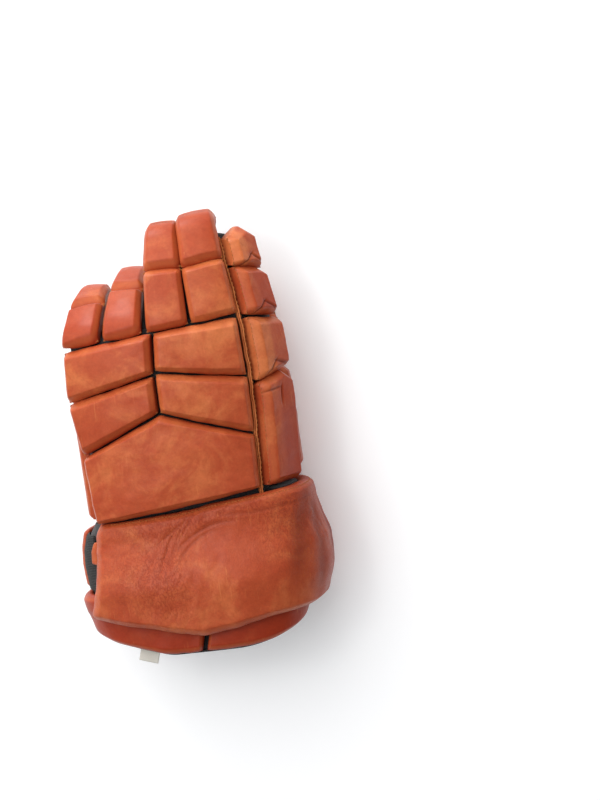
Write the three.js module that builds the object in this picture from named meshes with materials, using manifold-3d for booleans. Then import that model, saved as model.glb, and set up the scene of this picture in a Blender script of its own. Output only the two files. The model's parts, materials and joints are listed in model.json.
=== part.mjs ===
// Ice hockey glove for the left hand, lying palm down: padded leather blocks on a hollow cloth lining.
// Millimetres. +Z is up, out of the back of the hand.
// +Y runs from the cuff to the fingertips, and +X is the thumb side.
// The origin is under the middle of the glove, on the surface that it lies on.

import * as THREE from "three";
import { mergeVertices } from "three/addons/utils/BufferGeometryUtils.js";
import Module from "manifold-3d";

const wasm = await Module();
wasm.setup();

// Driving dimensions
const PAD = 15; // thickness of the blocks on the back of the hand
const FINGER_PAD = 13; // thickness of the blocks on the fingers
const SIDE_PAD = 15; // thickness of the blocks on the thumb side of the hand
const LITTLE_SIDE_PAD = 10; // thickness of the blocks on the little finger side
const THUMB_PAD = 14.2; // thickness of the two thumb blocks
const CUFF_PAD = 11; // thickness of the cuff strap and of the palm cuff's two rolls
const FLAP_PAD = 8.5; // thickness of the cuff's lower flaps and side panels
const BINDING = 2.6; // thickness of the ribbed bindings
const CLOTH = 2; // wall of the lining, of the stalls and of the palm
const GAP = 0.5; // between a block and what it is sewn to
const CHAMFER = 4; // width of a block's rounded edge

// The back of the hand is an arch across the hand
const CROWN = { x: -22, z: 98, radius: 190 };
const KNUCKLE = { y: 79, slope: 0.09, droop: 2.5, droopFrom: 40, droopOver: 40 };
const PALM_Z = 56; // underside of the palm cloth
const WRIST = { y: -57, x: -20, slant: 0.077, fadeFrom: -110, fadeOver: 50 }; // where hand and cuff meet
const wristY = (x) => WRIST.y + WRIST.slant * (x - WRIST.x);

const LEATHER = new THREE.MeshStandardMaterial({ color: 0xb4512b, roughness: 0.42, metalness: 0 });
const BLACK_CLOTH = new THREE.MeshStandardMaterial({ color: 0x1d1a1c, roughness: 0.9, metalness: 0 });
const PALE_SUEDE = new THREE.MeshStandardMaterial({ color: 0xb9b5ab, roughness: 0.85, metalness: 0 });
const BLACK_MESH = new THREE.MeshStandardMaterial({ color: 0x17151a, roughness: 0.8, metalness: 0 });
const BLACK_RIB = new THREE.MeshStandardMaterial({ color: 0x24221f, roughness: 0.95, metalness: 0 });
const TAG_CLOTH = new THREE.MeshStandardMaterial({ color: 0xe6e0d2, roughness: 0.8, metalness: 0 });

const glove = new THREE.Group();

// Small helpers

const rad = THREE.MathUtils.degToRad;
const smooth = (t) => THREE.MathUtils.smoothstep(t, 0, 1);
const vec = (x, y, z) => new THREE.Vector3(x, y, z);

// Reads a table whose rows start with the key that it is looked up by, with straight lines between its rows.
function lookUp(table, key) {
  const rising = table[0][0] < table[table.length - 1][0];
  const rows = rising ? table : [...table].reverse();
  if (key <= rows[0][0]) return rows[0].slice(1);
  for (let i = 1; i < rows.length; i++) {
    if (key > rows[i][0]) continue;
    const t = (key - rows[i - 1][0]) / (rows[i][0] - rows[i - 1][0]);
    return rows[i].slice(1).map((v, k) => THREE.MathUtils.lerp(rows[i - 1][k + 1], v, t));
  }
  return rows[rows.length - 1].slice(1);
}

// The point at a share of a polyline's length.
function along(points, share) {
  const lengths = points.slice(1).map((p, i) => Math.hypot(p[0] - points[i][0], p[1] - points[i][1]));
  let rest = share * lengths.reduce((a, b) => a + b, 0);
  for (let i = 0; i < lengths.length; i++) {
    if (rest <= lengths[i] || i === lengths.length - 1) {
      const t = lengths[i] ? rest / lengths[i] : 0;
      return [0, 1].map((k) => THREE.MathUtils.lerp(points[i][k], points[i + 1][k], t));
    }
    rest -= lengths[i];
  }
}

// A place inside an outline of four sides, each a polyline: a Coons patch.
function insideOutline({ near, far }, s, t) {
  const n = along(near, s);
  const f = along(far, s);
  const n0 = near[0];
  const n1 = near[near.length - 1];
  const f0 = far[0];
  const f1 = far[far.length - 1];
  return [0, 1].map((k) => {
    const left = THREE.MathUtils.lerp(n0[k], f0[k], t);
    const right = THREE.MathUtils.lerp(n1[k], f1[k], t);
    const corners = THREE.MathUtils.lerp(
      THREE.MathUtils.lerp(n0[k], n1[k], s),
      THREE.MathUtils.lerp(f0[k], f1[k], s),
      t,
    );
    return THREE.MathUtils.lerp(n[k], f[k], t) + THREE.MathUtils.lerp(left, right, s) - corners;
  });
}

// A closed solid between two grids of points of one size, the second of them on the outside.
function solidBetween(inner, outer) {
  const rows = inner.length;
  const columns = inner[0].length;
  const positions = [...inner.flat(), ...outer.flat()].flatMap((p) => [p.x, p.y, p.z]);
  const at = (layer, i, j) => layer * rows * columns + i * columns + j;
  const index = [];
  const face = (a, b, c, d) => index.push(a, b, c, a, c, d);
  for (let i = 0; i + 1 < rows; i++)
    for (let j = 0; j + 1 < columns; j++) {
      face(at(1, i, j), at(1, i, j + 1), at(1, i + 1, j + 1), at(1, i + 1, j));
      face(at(0, i, j), at(0, i + 1, j), at(0, i + 1, j + 1), at(0, i, j + 1));
    }
  for (let i = 0; i + 1 < rows; i++) {
    face(at(0, i, 0), at(1, i, 0), at(1, i + 1, 0), at(0, i + 1, 0));
    face(at(0, i, columns - 1), at(0, i + 1, columns - 1), at(1, i + 1, columns - 1), at(1, i, columns - 1));
  }
  for (let j = 0; j + 1 < columns; j++) {
    face(at(0, 0, j), at(0, 0, j + 1), at(1, 0, j + 1), at(1, 0, j));
    face(at(0, rows - 1, j), at(1, rows - 1, j), at(1, rows - 1, j + 1), at(0, rows - 1, j + 1));
  }
  const geometry = new THREE.BufferGeometry();
  geometry.setAttribute("position", new THREE.Float32BufferAttribute(positions, 3));
  geometry.setIndex(index);
  return facingOut(geometry);
}

// A closed solid through rings of points, with a flat cap at each end.
function loft(rings) {
  const n = rings[0].length;
  const positions = rings.flat().flatMap((p) => [p.x, p.y, p.z]);
  const index = [];
  for (let i = 0; i + 1 < rings.length; i++)
    for (let j = 0; j < n; j++) {
      const k = (j + 1) % n;
      const a = i * n;
      const b = (i + 1) * n;
      index.push(a + j, a + k, b + k, a + j, b + k, b + j);
    }
  const capOf = (ring, turned) => {
    const centre = ring.reduce((sum, p) => sum.add(p), vec(0, 0, 0)).multiplyScalar(1 / n);
    positions.push(centre.x, centre.y, centre.z);
    const hub = positions.length / 3 - 1;
    const start = turned ? (rings.length - 1) * n : 0;
    for (let j = 0; j < n; j++) {
      const k = (j + 1) % n;
      index.push(...(turned ? [start + j, start + k, hub] : [start + k, start + j, hub]));
    }
  };
  capOf(rings[0], false);
  capOf(rings[rings.length - 1], true);
  const geometry = new THREE.BufferGeometry();
  geometry.setAttribute("position", new THREE.Float32BufferAttribute(positions, 3));
  geometry.setIndex(index);
  return facingOut(geometry);
}

function signedVolume(geometry) {
  const p = geometry.attributes.position;
  const index = geometry.index.array;
  const [a, b, c] = [vec(0, 0, 0), vec(0, 0, 0), vec(0, 0, 0)];
  let volume = 0;
  for (let i = 0; i < index.length; i += 3) {
    a.fromBufferAttribute(p, index[i]);
    b.fromBufferAttribute(p, index[i + 1]);
    c.fromBufferAttribute(p, index[i + 2]);
    volume += a.dot(b.cross(c)) / 6;
  }
  return volume;
}

function facingOut(geometry) {
  if (signedVolume(geometry) > 0) return geometry;
  const index = geometry.index.array;
  for (let i = 0; i < index.length; i += 3) [index[i + 1], index[i + 2]] = [index[i + 2], index[i + 1]];
  return geometry;
}

// Joining and cutting
function toSolid(geometry) {
  const bare = new THREE.BufferGeometry();
  bare.setAttribute("position", geometry.attributes.position.clone());
  bare.setIndex(geometry.index.clone());
  const merged = mergeVertices(bare, 1e-4);
  return new wasm.Manifold(
    new wasm.Mesh({
      numProp: 3,
      vertProperties: new Float32Array(merged.attributes.position.array),
      triVerts: new Uint32Array(merged.index.array),
    }),
  );
}

function toGeometry(solid) {
  const mesh = solid.getMesh();
  const positions = [];
  for (let i = 0; i < mesh.numVert; i++) {
    const first = i * mesh.numProp;
    positions.push(...mesh.vertProperties.subarray(first, first + 3));
  }
  const geometry = new THREE.BufferGeometry();
  geometry.setAttribute("position", new THREE.Float32BufferAttribute(positions, 3));
  geometry.setIndex([...mesh.triVerts]);
  return geometry;
}

function cut(geometry, ...tools) {
  return toGeometry(tools.reduce((solid, tool) => solid.subtract(toSolid(tool)), toSolid(geometry)));
}

function block(low, high) {
  const size = high.clone().sub(low);
  const box = new THREE.BoxGeometry(size.x, size.y, size.z);
  const middle = low.clone().add(high).multiplyScalar(0.5);
  box.translate(middle.x, middle.y, middle.z);
  return box;
}

function add(name, geometry, material) {
  const shaded = geometry.index ? geometry.toNonIndexed() : geometry;
  shaded.computeVertexNormals();
  const mesh = new THREE.Mesh(shaded, material);
  mesh.name = name;
  glove.add(mesh);
}

// Blocks: a grid of places on a surface, raised along the surface's normal, with a chamfer round its top.
// surface(a, b) gives a point and its outward normal; place(s, t) gives a and b.
function raise(name, surface, place, shares, steps, thickness, options = {}) {
  const { material = LEATHER, floor = null, gap = GAP, edge = 0.62 } = options;
  const onEdge = (i, j) => i === 0 || j === 0 || i === steps.length - 1 || j === shares.length - 1;
  const gridAt = (heightOf) =>
    steps.map((t, i) =>
      shares.map((share, j) => {
        const { point, normal } = surface(...place(share, t));
        const raised = point.clone().addScaledVector(normal, heightOf(i, j));
        if (floor !== null) raised.z = Math.max(raised.z, floor);
        return raised;
      }),
    );
  const inner = gridAt(() => gap);
  const outer = gridAt((i, j) => gap + thickness * (onEdge(i, j) ? edge : 1));
  add(name, solidBetween(inner, outer), material);
}

// A block with an outline of four sides. across and lengthwise are the numbers of inner divisions.
function pad(name, surface, outline, thickness, options = {}) {
  const { across = 2, lengthwise = 2, chamfer = CHAMFER } = options;
  const sizeOf = (p, q) => surface(...p).point.distanceTo(surface(...q).point);
  const width = sizeOf(outline.near[0], outline.near[outline.near.length - 1]);
  const length = sizeOf(outline.near[0], outline.far[0]);
  const sharesOf = (size, divisions) => {
    const rim = Math.min(chamfer / Math.max(size, 1), 0.3);
    const inner = Array.from({ length: divisions + 1 }, (_, i) => rim + ((1 - 2 * rim) * i) / divisions);
    return [0, ...inner, 1];
  };
  const place = (share, t) => insideOutline(outline, share, t);
  raise(name, surface, place, sharesOf(width, across), sharesOf(length, lengthwise), thickness, options);
}

// The arch of the back of the hand
function archHeight(x, y) {
  const past = Math.max(0, Math.min(y, KNUCKLE.y) - KNUCKLE.droopFrom) / KNUCKLE.droopOver;
  return CROWN.z - KNUCKLE.droop * past ** 2 - (x - CROWN.x) ** 2 / (2 * CROWN.radius);
}

function archSurface(x, y) {
  const slope = -(x - CROWN.x) / CROWN.radius;
  return { point: vec(x, y, archHeight(x, y)), normal: vec(-slope, 0, 1).normalize() };
}

const knuckleY = (x) => KNUCKLE.y + KNUCKLE.slope * (x - CROWN.x);

// Outlines on the back of the hand, in plan: near is the edge towards the cuff and far the edge towards the
// fingers, both from the little finger side
const BACK_OUTLINES = {
  knuckle_roll_little: { near: [[-93.5, 34], [-28, 49]], far: [[-92, 71], [-26, 78]] },
  knuckle_roll_index: { near: [[-22, 51], [41.5, 38.5]], far: [[-20, 78], [39.5, 81.5]] },
  back_roll_little: { near: [[-88, -7], [-28.5, 19]], far: [[-93.5, 31.5], [-28, 46]] },
  back_roll_index: { near: [[-22.5, 19], [41, -4.5]], far: [[-23.5, 47.5], [42, 36]] },
  backhand_pad: { near: [[-85, -60], [40, -45.5]], far: [[-88, -10], [-25.5, 16], [41, -7.5]] },
};

// Fingers: where each starts on the knuckle line, how it is turned in plan, the slant of its blocks' edges,
// the downward slope of its two halves, and the length and the outer width of its two blocks
const FINGER_COLUMNS = [
  "name",
  "x",
  "turn",
  "shear",
  "slopeBase",
  "slopeTip",
  "baseLength",
  "tipLength",
  "widthRoot",
  "widthJoint",
  "widthTip",
];
const FINGERS = [
  ["index", 21.5, -6, 0, 9, 21, 41, 25, 34, 31, 27],
  ["middle", -12.3, 0.5, 0, 13, 30, 43, 24, 31.5, 28, 23],
  ["ring", -45.8, 3, 0, 46, 68, 38, 21, 32, 28, 23],
  ["little", -79.5, 6, 0.3, 48, 68, 31, 18.5, 32, 30, 21],
].map((row) => Object.fromEntries(FINGER_COLUMNS.map((column, i) => [column, row[i]])));

const STALL = { halfWidth: 12.5, height: 25, power: 2.6, sides: 12, under: 0.3, reach: 2.5 };
const KNUCKLE_BEND = 12; // length of the bend where a finger leaves the hand
const JOINT_BEND = 12; // length of the bend between a finger's two blocks
// The tip block turns down over the finger's end
const END_BEND = { length: 16, lead: 4, slope: 98, reach: 6 };
const PATH_STEP = 0.5;
const FINGER_CROWN = 75; // radius of a finger's back, across

// The line along a finger's back, as points with their tangent and normal, one for each step of its length.
function fingerPath(finger) {
  const { x, turn, slopeBase, slopeTip, baseLength, tipLength } = finger;
  const y = knuckleY(x);
  const lean = Math.atan(-(x - CROWN.x) / CROWN.radius);
  const ahead = vec(Math.sin(rad(turn)), Math.cos(rad(turn)), 0);
  const side = vec(Math.cos(rad(turn)), -Math.sin(rad(turn)), 0).multiplyScalar(Math.cos(lean));
  side.z = Math.sin(lean);
  const end = baseLength + tipLength;
  const places = [];
  let point = vec(x, y, archHeight(x, y));
  for (let s = 0; s <= end + END_BEND.length + END_BEND.reach; s += PATH_STEP) {
    const slope =
      slopeBase * smooth(s / KNUCKLE_BEND) +
      (slopeTip - slopeBase) * smooth((s - baseLength + JOINT_BEND / 2) / JOINT_BEND) +
      (END_BEND.slope - slopeTip) * smooth((s - end + END_BEND.lead) / END_BEND.length);
    const tangent = ahead.clone().multiplyScalar(Math.cos(rad(slope)));
    tangent.z = -Math.sin(rad(slope));
    const normal = side.clone().cross(tangent).normalize();
    places.push({ s, point: point.clone(), tangent, normal, side });
    point = point.clone().addScaledVector(tangent, PATH_STEP);
  }
  return places;
}

const placeAt = (path, s) => path[THREE.MathUtils.clamp(Math.round(s / PATH_STEP), 0, path.length - 1)];

// The same, but straight on from where the tip block starts to turn down.
function straightPlaceAt(path, s, end) {
  const last = end - END_BEND.lead;
  const place = placeAt(path, Math.min(s, last));
  if (s <= last) return place;
  return { ...place, point: place.point.clone().addScaledVector(place.tangent, s - last) };
}

// A finger's back (face 1) or underside (face -1) as a surface: a is across it, b along it.
function fingerSurface(path, face, crown) {
  const drop = face > 0 ? 0 : -STALL.height - STALL.under;
  return (a, b) => {
    const { point, normal, side } = placeAt(path, b);
    const sag = (face * a ** 2) / (2 * crown);
    return {
      point: point.clone().addScaledVector(side, a).addScaledVector(normal, drop - sag),
      normal: normal.clone().multiplyScalar(face).addScaledVector(side, a / crown).normalize(),
    };
  };
}

// The point of a superellipse in the direction of an angle.
function superellipse(angle, halfWidth, halfHeight, power) {
  const [c, d] = [Math.cos(angle), Math.sin(angle)];
  const radius = (Math.abs(c / halfWidth) ** power + Math.abs(d / halfHeight) ** power) ** (-1 / power);
  return [radius * c, radius * d];
}

// Rings of a stall round a finger.
// flare widens the lower thumb side of the index finger's stall, up to its side blocks.
function stallRings(path, end, inset, flare) {
  const length = end + STALL.reach;
  const stops = [0, 6, 12, length * 0.45, length * 0.62, length - 8, length - 3, length];
  const shrink = [1, 1, 1, 1, 1, 1, 0.86, 0.6];
  return stops.map((stop, i) => {
    const s = Math.max(0, stop - (i > 4 ? inset * 1.2 : 0));
    const { point, normal, side, tangent } = straightPlaceAt(path, s, end);
    const ring = [];
    for (let k = 0; k < STALL.sides; k++) {
      const angle = (2 * Math.PI * (k + 0.5)) / STALL.sides;
      const size = [STALL.halfWidth, STALL.height / 2].map((half) => (half - inset) * shrink[i]);
      const [a, h] = superellipse(angle, size[0], size[1], STALL.power);
      const spread = a > 0 ? flare * (0.5 - h / STALL.height) * (1 + 0.15 * (s / length)) : 0;
      const place = point
        .clone()
        .addScaledVector(side, a + spread)
        .addScaledVector(normal, h - STALL.height / 2 - STALL.under);
      const least = knuckleY(place.x) + 0.4 - inset + 0.6 * i;
      if (i === 0) place.addScaledVector(tangent, (least - place.y) / tangent.y);
      else place.y = Math.max(place.y, least);
      ring.push(place);
    }
    return ring;
  });
}

const INDEX_FLARE = 19;
const FINGER_PALM = { thickness: 1.2, halfWidth: 8, gap: 1.1, crown: 90, from: 8, steepFrom: 30, short: 6 };

function makeFinger(finger) {
  const path = fingerPath(finger);
  const surface = fingerSurface(path, 1, FINGER_CROWN);
  const { name, baseLength, tipLength } = finger;
  const [root, joint, tip] = [finger.widthRoot, finger.widthJoint, finger.widthTip].map(
    (width) => width / 2 / (1 + FINGER_PAD / FINGER_CROWN),
  );
  const end = baseLength + tipLength + END_BEND.length * 0.75 + END_BEND.reach;
  const row = (half, b) => [[-half, b - finger.shear * half], [half, b + finger.shear * half]];
  const start = 3.2 + finger.shear * 6;
  const options = { lengthwise: 4, gap: 0.7 };
  const baseOutline = { near: row(root, start), far: row(joint, baseLength - 0.7) };
  pad(name + "_base_pad", surface, baseOutline, FINGER_PAD, options);
  const tipOutline = { near: row(joint, baseLength + 0.9), far: row(tip, end) };
  pad(name + "_tip_pad", surface, tipOutline, FINGER_PAD, { ...options, lengthwise: 5 });
  const flare = name === "index" ? INDEX_FLARE : 0;
  const length = baseLength + tipLength;
  const outer = loft(stallRings(path, length, 0, flare));
  const inner = loft(stallRings(path, length, CLOTH, flare));
  add(name + "_stall", cut(outer, inner), BLACK_CLOTH);
  const { halfWidth, short } = FINGER_PALM;
  const under = fingerSurface(path, -1, FINGER_PALM.crown);
  const from = finger.slopeBase > 30 ? FINGER_PALM.steepFrom : FINGER_PALM.from;
  const shift = flare ? 5 : 0;
  const sides = (b) => [[shift - halfWidth, b], [shift + halfWidth, b]];
  pad(name + "_palm", under, { near: sides(from), far: sides(length - short) }, FINGER_PALM.thickness, {
    material: PALE_SUEDE,
    across: 1,
    lengthwise: 3,
    chamfer: 1,
    gap: FINGER_PALM.gap,
  });
}

// The thumb side of the hand and index finger: a wall that slopes down and out from the arch's edge
// Columns: y, x and z of the seam
const SEAM = [
  [-64, 40, 86.5],
  [-8, 43, 87],
  [30, 44.5, 87],
  [47, 44.5, 86.5],
  [85, 42, 83.5],
  [121, 36, 76.5],
  [150, 31, 66],
];
const SIDE_SLOPE = { down: 62, width: 34 }; // angle below the horizontal, and width of the wall

function sideSurface(down, y) {
  const [x, z] = lookUp(SEAM, y);
  const angle = rad(SIDE_SLOPE.down);
  return {
    point: vec(x + down * Math.cos(angle), y, z - down * Math.sin(angle)),
    normal: vec(Math.sin(angle), 0, Math.cos(angle)),
  };
}

// Outlines on that wall: distance below the seam, then y
const SIDE_OUTLINES = {
  index_side_tip_pad: { near: [[0.5, 120.7], [28, 115.2]], far: [[0.5, 141], [13, 147.5], [25, 141]] },
  index_side_mid_pad: { near: [[0.6, 84], [31, 80]], far: [[0.5, 118.5], [19, 116.5], [28, 111.5]] },
  index_side_base_pad: { near: [[0.5, 34], [33, 40.5]], far: [[0.5, 79.5], [33, 75]] },
  thumb_side_block: { near: [[0.5, -46], [34, -47]], far: [[0.5, 30.5], [20, 37], [34, 29]] },
};

// The little finger side: a wall that slopes down and a little inwards
const LITTLE_WALL = { xTop: -90, zTop: 80, xBottom: -85, zBottom: 56 };

function littleSurface(down, y) {
  const run = vec(LITTLE_WALL.xBottom - LITTLE_WALL.xTop, 0, LITTLE_WALL.zBottom - LITTLE_WALL.zTop);
  const width = run.length();
  run.normalize();
  const reach = THREE.MathUtils.clamp(down, -2, width + 2);
  return {
    point: vec(LITTLE_WALL.xTop, y, LITTLE_WALL.zTop).addScaledVector(run, reach),
    normal: vec(run.z, 0, -run.x),
  };
}

const LITTLE_OUTLINES = {
  little_side_base_pad: { near: [[-1, -59], [24, -59]], far: [[-1, 28], [24, 24]] },
  little_side_mid_pad: { near: [[-1, 30.5], [24, 26.5]], far: [[-1, 69], [24, 69]] },
};

// The thumb lies under the palm, and its root is open upwards, into the hand.
// Columns: y, middle x, half width, lowest z, highest z
const THUMB = [
  [-46, 28, 21.5, 13.6, 60],
  [12, 28, 21.5, 13.6, 60],
  [24, 27.8, 21, 13.6, 52],
  [48, 27, 19.5, 13.6, 48],
  [72, 26, 18, 13.6, 45],
  [91, 25.5, 15.2, 14.2, 42.5],
  [101, 25, 11.5, 16.5, 39.5],
  [106, 24.8, 6, 20, 36],
];
const THUMB_SHAPE = { power: 3, sides: 20, rootTop: PALM_Z - 0.4 };

function thumbPlace(angle, y, inset = 0) {
  const [x, halfWidth, low, high] = lookUp(THUMB, y);
  const [a, h] = superellipse(rad(angle), halfWidth - inset, (high - low) / 2 - inset, THUMB_SHAPE.power);
  return vec(x + a, y, (low + high) / 2 + h);
}

function thumbRing(y, inset) {
  const { sides } = THUMB_SHAPE;
  return Array.from({ length: sides }, (_, k) => thumbPlace((360 * k) / sides, y, inset));
}

// The thumb's skin as a surface: angle in degrees from +X, turning towards +Z, and y.
function thumbSurface(angle, y) {
  const round = thumbPlace(angle + 2, y).sub(thumbPlace(angle - 2, y));
  const ahead = thumbPlace(angle, Math.min(y + 2, 108)).sub(thumbPlace(angle, y - 2));
  return { point: thumbPlace(angle, y), normal: ahead.cross(round).normalize() };
}

const THUMB_OUTLINES = {
  thumb_base_pad: { near: [[202, -44.5], [374, -44.5]], far: [[202, 36], [374, 36]] },
  thumb_tip_pad: { near: [[202, 38.2], [374, 38.2]], far: [[222, 103], [270, 105.5], [335, 103]] },
};

// The cuff. Columns: y, lowest x, highest x, lowest z, highest z of the lining's outside
const CUFF = [
  [-57, -97, 62, 25, 95],
  [-68, -104.5, 63, 18.5, 96.5],
  [-80, -108, 64, 13, 97],
  [-95, -109, 64, 10.8, 97],
  [-116, -108, 59, 10.8, 97],
  [-140, -102, 51.5, 10.8, 97],
  [-168, -94, 44, 12, 97],
];
const CUFF_SHAPE = { power: 3, sides: 36 };
const CUFF_STEP = 360 / CUFF_SHAPE.sides;
// The rim's y by angle round the cuff: 0 is the thumb side, 90 the back, 180 the little finger side,
// and 270 the palm
const RIM = [
  [-90, -131],
  [-57, -133],
  [-20, -139],
  [0, -147],
  [15, -156],
  [30, -163],
  [45, -166],
  [116, -166],
  [133, -161],
  [147, -156],
  [160, -149],
  [180, -140],
  [200, -133],
  [215, -131],
  [270, -131],
];
const rimY = (angle) => lookUp(RIM, angle > 270 ? angle - 360 : angle)[0];

// Near the hand the cuff is slanted with the line where the two meet.
function cuffPlace(angle, y) {
  const [left, right, low, high] = lookUp(CUFF, y);
  const [a, h] = superellipse(rad(angle), (right - left) / 2, (high - low) / 2, CUFF_SHAPE.power);
  const x = (left + right) / 2 + a;
  const fade = smooth((y - WRIST.fadeFrom) / WRIST.fadeOver);
  return vec(x, y + WRIST.slant * (x - WRIST.x) * fade, (low + high) / 2 + h);
}

function cuffSurface(angle, y, offset = 0) {
  const round = cuffPlace(angle + 2, y).sub(cuffPlace(angle - 2, y));
  const ahead = cuffPlace(angle, y + 2).sub(cuffPlace(angle, y - 2));
  const normal = ahead.cross(round).normalize();
  return { point: cuffPlace(angle, y).addScaledVector(normal, offset), normal };
}

// The strap lies on the lining near the hand and rides up over the flaps towards the rim.
const STRAP_LIFT = { height: FLAP_PAD + 1.2, from: -72, over: 43, thumbSide: -30, ramp: 26 };
function strapSurface(angle, y) {
  const towardsRim = smooth((STRAP_LIFT.from - y) / STRAP_LIFT.over);
  const onBack = smooth((angle - STRAP_LIFT.thumbSide) / STRAP_LIFT.ramp);
  return cuffSurface(angle, y, STRAP_LIFT.height * towardsRim * onBack);
}

// The strap's edge towards the rim: angle, y
const STRAP_NEAR = [
  [-55, -116],
  [-25, -121],
  [0, -130],
  [15, -136],
  [35, -145],
  [50, -150],
  [75, -152],
  [105, -149],
  [133, -140],
  [142, -134],
  [149, -128],
];
const STRAP_TURN = { most: 9, from: 100, over: 49 }; // keeps its end straight where the lining narrows
const CUFF_TOP = -58.3; // y of the cuff pieces' edge towards the hand
const PALM_SEAM = -93; // y between the palm cuff's two rolls

// A block on the cuff between two angles and two edges, each a y or a function of the angle.
function cuffPad(name, surface, [first, last], near, far, thickness, options = {}) {
  const { rim = 3, rows = 1, turn = () => 0 } = options;
  const edgeOf = (edge, angle) => (typeof edge === "function" ? edge(angle) : edge);
  const inner = [];
  const firstStep = Math.ceil((first + rim + 2) / CUFF_STEP);
  for (let k = firstStep; k * CUFF_STEP <= last - rim - 2; k++) inner.push(k * CUFF_STEP);
  const angles = [first, first + rim, ...inner, last - rim, last];
  const yAt = (angle, t) => THREE.MathUtils.lerp(edgeOf(near, angle), edgeOf(far, angle), t);
  const place = (angle, t) => [angle + turn(angle, t), yAt(angle, t)];
  const length = surface(...place(angles[2], 0)).point.distanceTo(surface(...place(angles[2], 1)).point);
  const edge = Math.min(CHAMFER / length, 0.3);
  const steps = [0, ...Array.from({ length: rows + 1 }, (_, i) => edge + ((1 - 2 * edge) * i) / rows), 1];
  raise(name, surface, place, angles, steps, thickness, { floor: 0, gap: 0.8, ...options });
}

const SIZE_TAG = { x: -71, z: 91.2, width: 15, reach: 7, inside: 4, thickness: 1, slant: -18 };

function makeCuff() {
  const rings = (inset, shift) =>
    [0, 0.34, 0.62, 0.83, 1].map((t) =>
      Array.from({ length: CUFF_SHAPE.sides }, (_, k) => {
        const angle = CUFF_STEP * k;
        const y = THREE.MathUtils.lerp(rimY(angle) - shift, WRIST.y - 0.4 + shift, t);
        return cuffSurface(angle, y, -inset).point;
      }),
    );
  add("cuff_lining", cut(loft(rings(0, 0)), loft(rings(CLOTH + 0.5, 3))), BLACK_CLOTH);

  const strapNear = (angle) => lookUp(STRAP_NEAR, angle)[0];
  const turn = (angle, t) => STRAP_TURN.most * smooth((angle - STRAP_TURN.from) / STRAP_TURN.over) * t ** 2;
  cuffPad("cuff_strap", strapSurface, [-55, 149], strapNear, CUFF_TOP, CUFF_PAD, { rows: 5, turn });
  const rim = (angle) => rimY(angle) + 0.5;
  cuffPad("cuff_flap_little", cuffSurface, [80.5, 193], rim, -117, FLAP_PAD);
  cuffPad("cuff_flap_thumb", cuffSurface, [-6, 75.5], rim, -117, FLAP_PAD);
  const belowStrap = (angle) => strapNear(angle) - 1.5;
  cuffPad("palm_cuff_thumb_panel", cuffSurface, [-57, -10], rim, belowStrap, FLAP_PAD);
  cuffPad("palm_cuff_lower_roll", cuffSurface, [205, 301], rim, PALM_SEAM - 1, CUFF_PAD, { rows: 2 });
  cuffPad("palm_cuff_upper_roll", cuffSurface, [205, 301], PALM_SEAM + 1, CUFF_TOP, CUFF_PAD, { rows: 4 });
  cuffPad("palm_cuff_little_panel", cuffSurface, [181, 202], -115.5, -66, 6, { rows: 5 });
  cuffPad("side_webbing", cuffSurface, [153, 178], -114.5, -66, 1.6, {
    material: BLACK_RIB,
    rim: 1,
    rows: 5,
    turn: (angle, t) => (8 * t ** 2 * (178 - angle)) / 25,
  });

  const { x, z, width, reach, inside, thickness, slant } = SIZE_TAG;
  const tag = block(vec(0, -reach, 0), vec(width, inside, thickness));
  tag.rotateZ(rad(slant));
  tag.translate(x, -163, z);
  add("size_tag", tag, TAG_CLOTH);
}

// The hand's lining: back and two sides, open at the wrist, at the fingers and towards the palm.
const HAND_STOPS = [-64, -8, 30, 47, KNUCKLE.y];

function handRing(y, inset) {
  const last = y === KNUCKLE.y;
  const ring = [];
  const archSteps = 10;
  const [seamX, seamZ] = lookUp(SEAM, last ? 85 : y);
  const lowX = seamX + SIDE_SLOPE.width * Math.cos(rad(SIDE_SLOPE.down));
  const lowZ = seamZ - SIDE_SLOPE.width * Math.sin(rad(SIDE_SLOPE.down));
  const under = inset ? 8 : 0;
  for (let i = 0; i <= archSteps; i++) {
    const x = THREE.MathUtils.lerp(-89 + inset, seamX - 1.5 - inset, i / archSteps);
    ring.push(vec(x, y, archHeight(x, y) - inset));
  }
  ring.push(vec(seamX - inset, y, seamZ - 0.5 - inset));
  ring.push(vec(lowX - inset + under / 2, y, lowZ - under));
  ring.push(vec(LITTLE_WALL.xBottom + inset + under / 4, y, LITTLE_WALL.zBottom + 0.5 - under));
  ring.push(vec(LITTLE_WALL.xTop + inset, y, LITTLE_WALL.zTop - inset * 0.5));
  return ring;
}

function makeHand() {
  const rings = (inset, shift) =>
    HAND_STOPS.map((y, i) => {
      const ring = handRing(y, inset);
      if (i === 0) for (const p of ring) p.y = wristY(p.x) + 0.3 - shift;
      if (i === HAND_STOPS.length - 1) for (const p of ring) p.y = knuckleY(p.x) + shift;
      return ring;
    });
  add("hand_lining", cut(loft(rings(0, 0)), loft(rings(CLOTH, 2))), BLACK_CLOTH);
}

// The palm: a perforated panel and a suede panel, each a flat sheet. Corners in plan.
const PALM_MESH = [[-82, -60.5], [2, -54], [2, 62], [-82, 40]];
const PALM_SUEDE = [
  [2.5, -54],
  [51.5, -50],
  [54.3, 0],
  [53.4, 80.5],
  [43, 83],
  [-82, 71.5],
  [-82, 40.6],
  [2.5, 62.7],
];
const THUMB_HOLE = [[10, -38], [46, -38], [46, 9], [10, 9]]; // from the hand into the thumb

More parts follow.
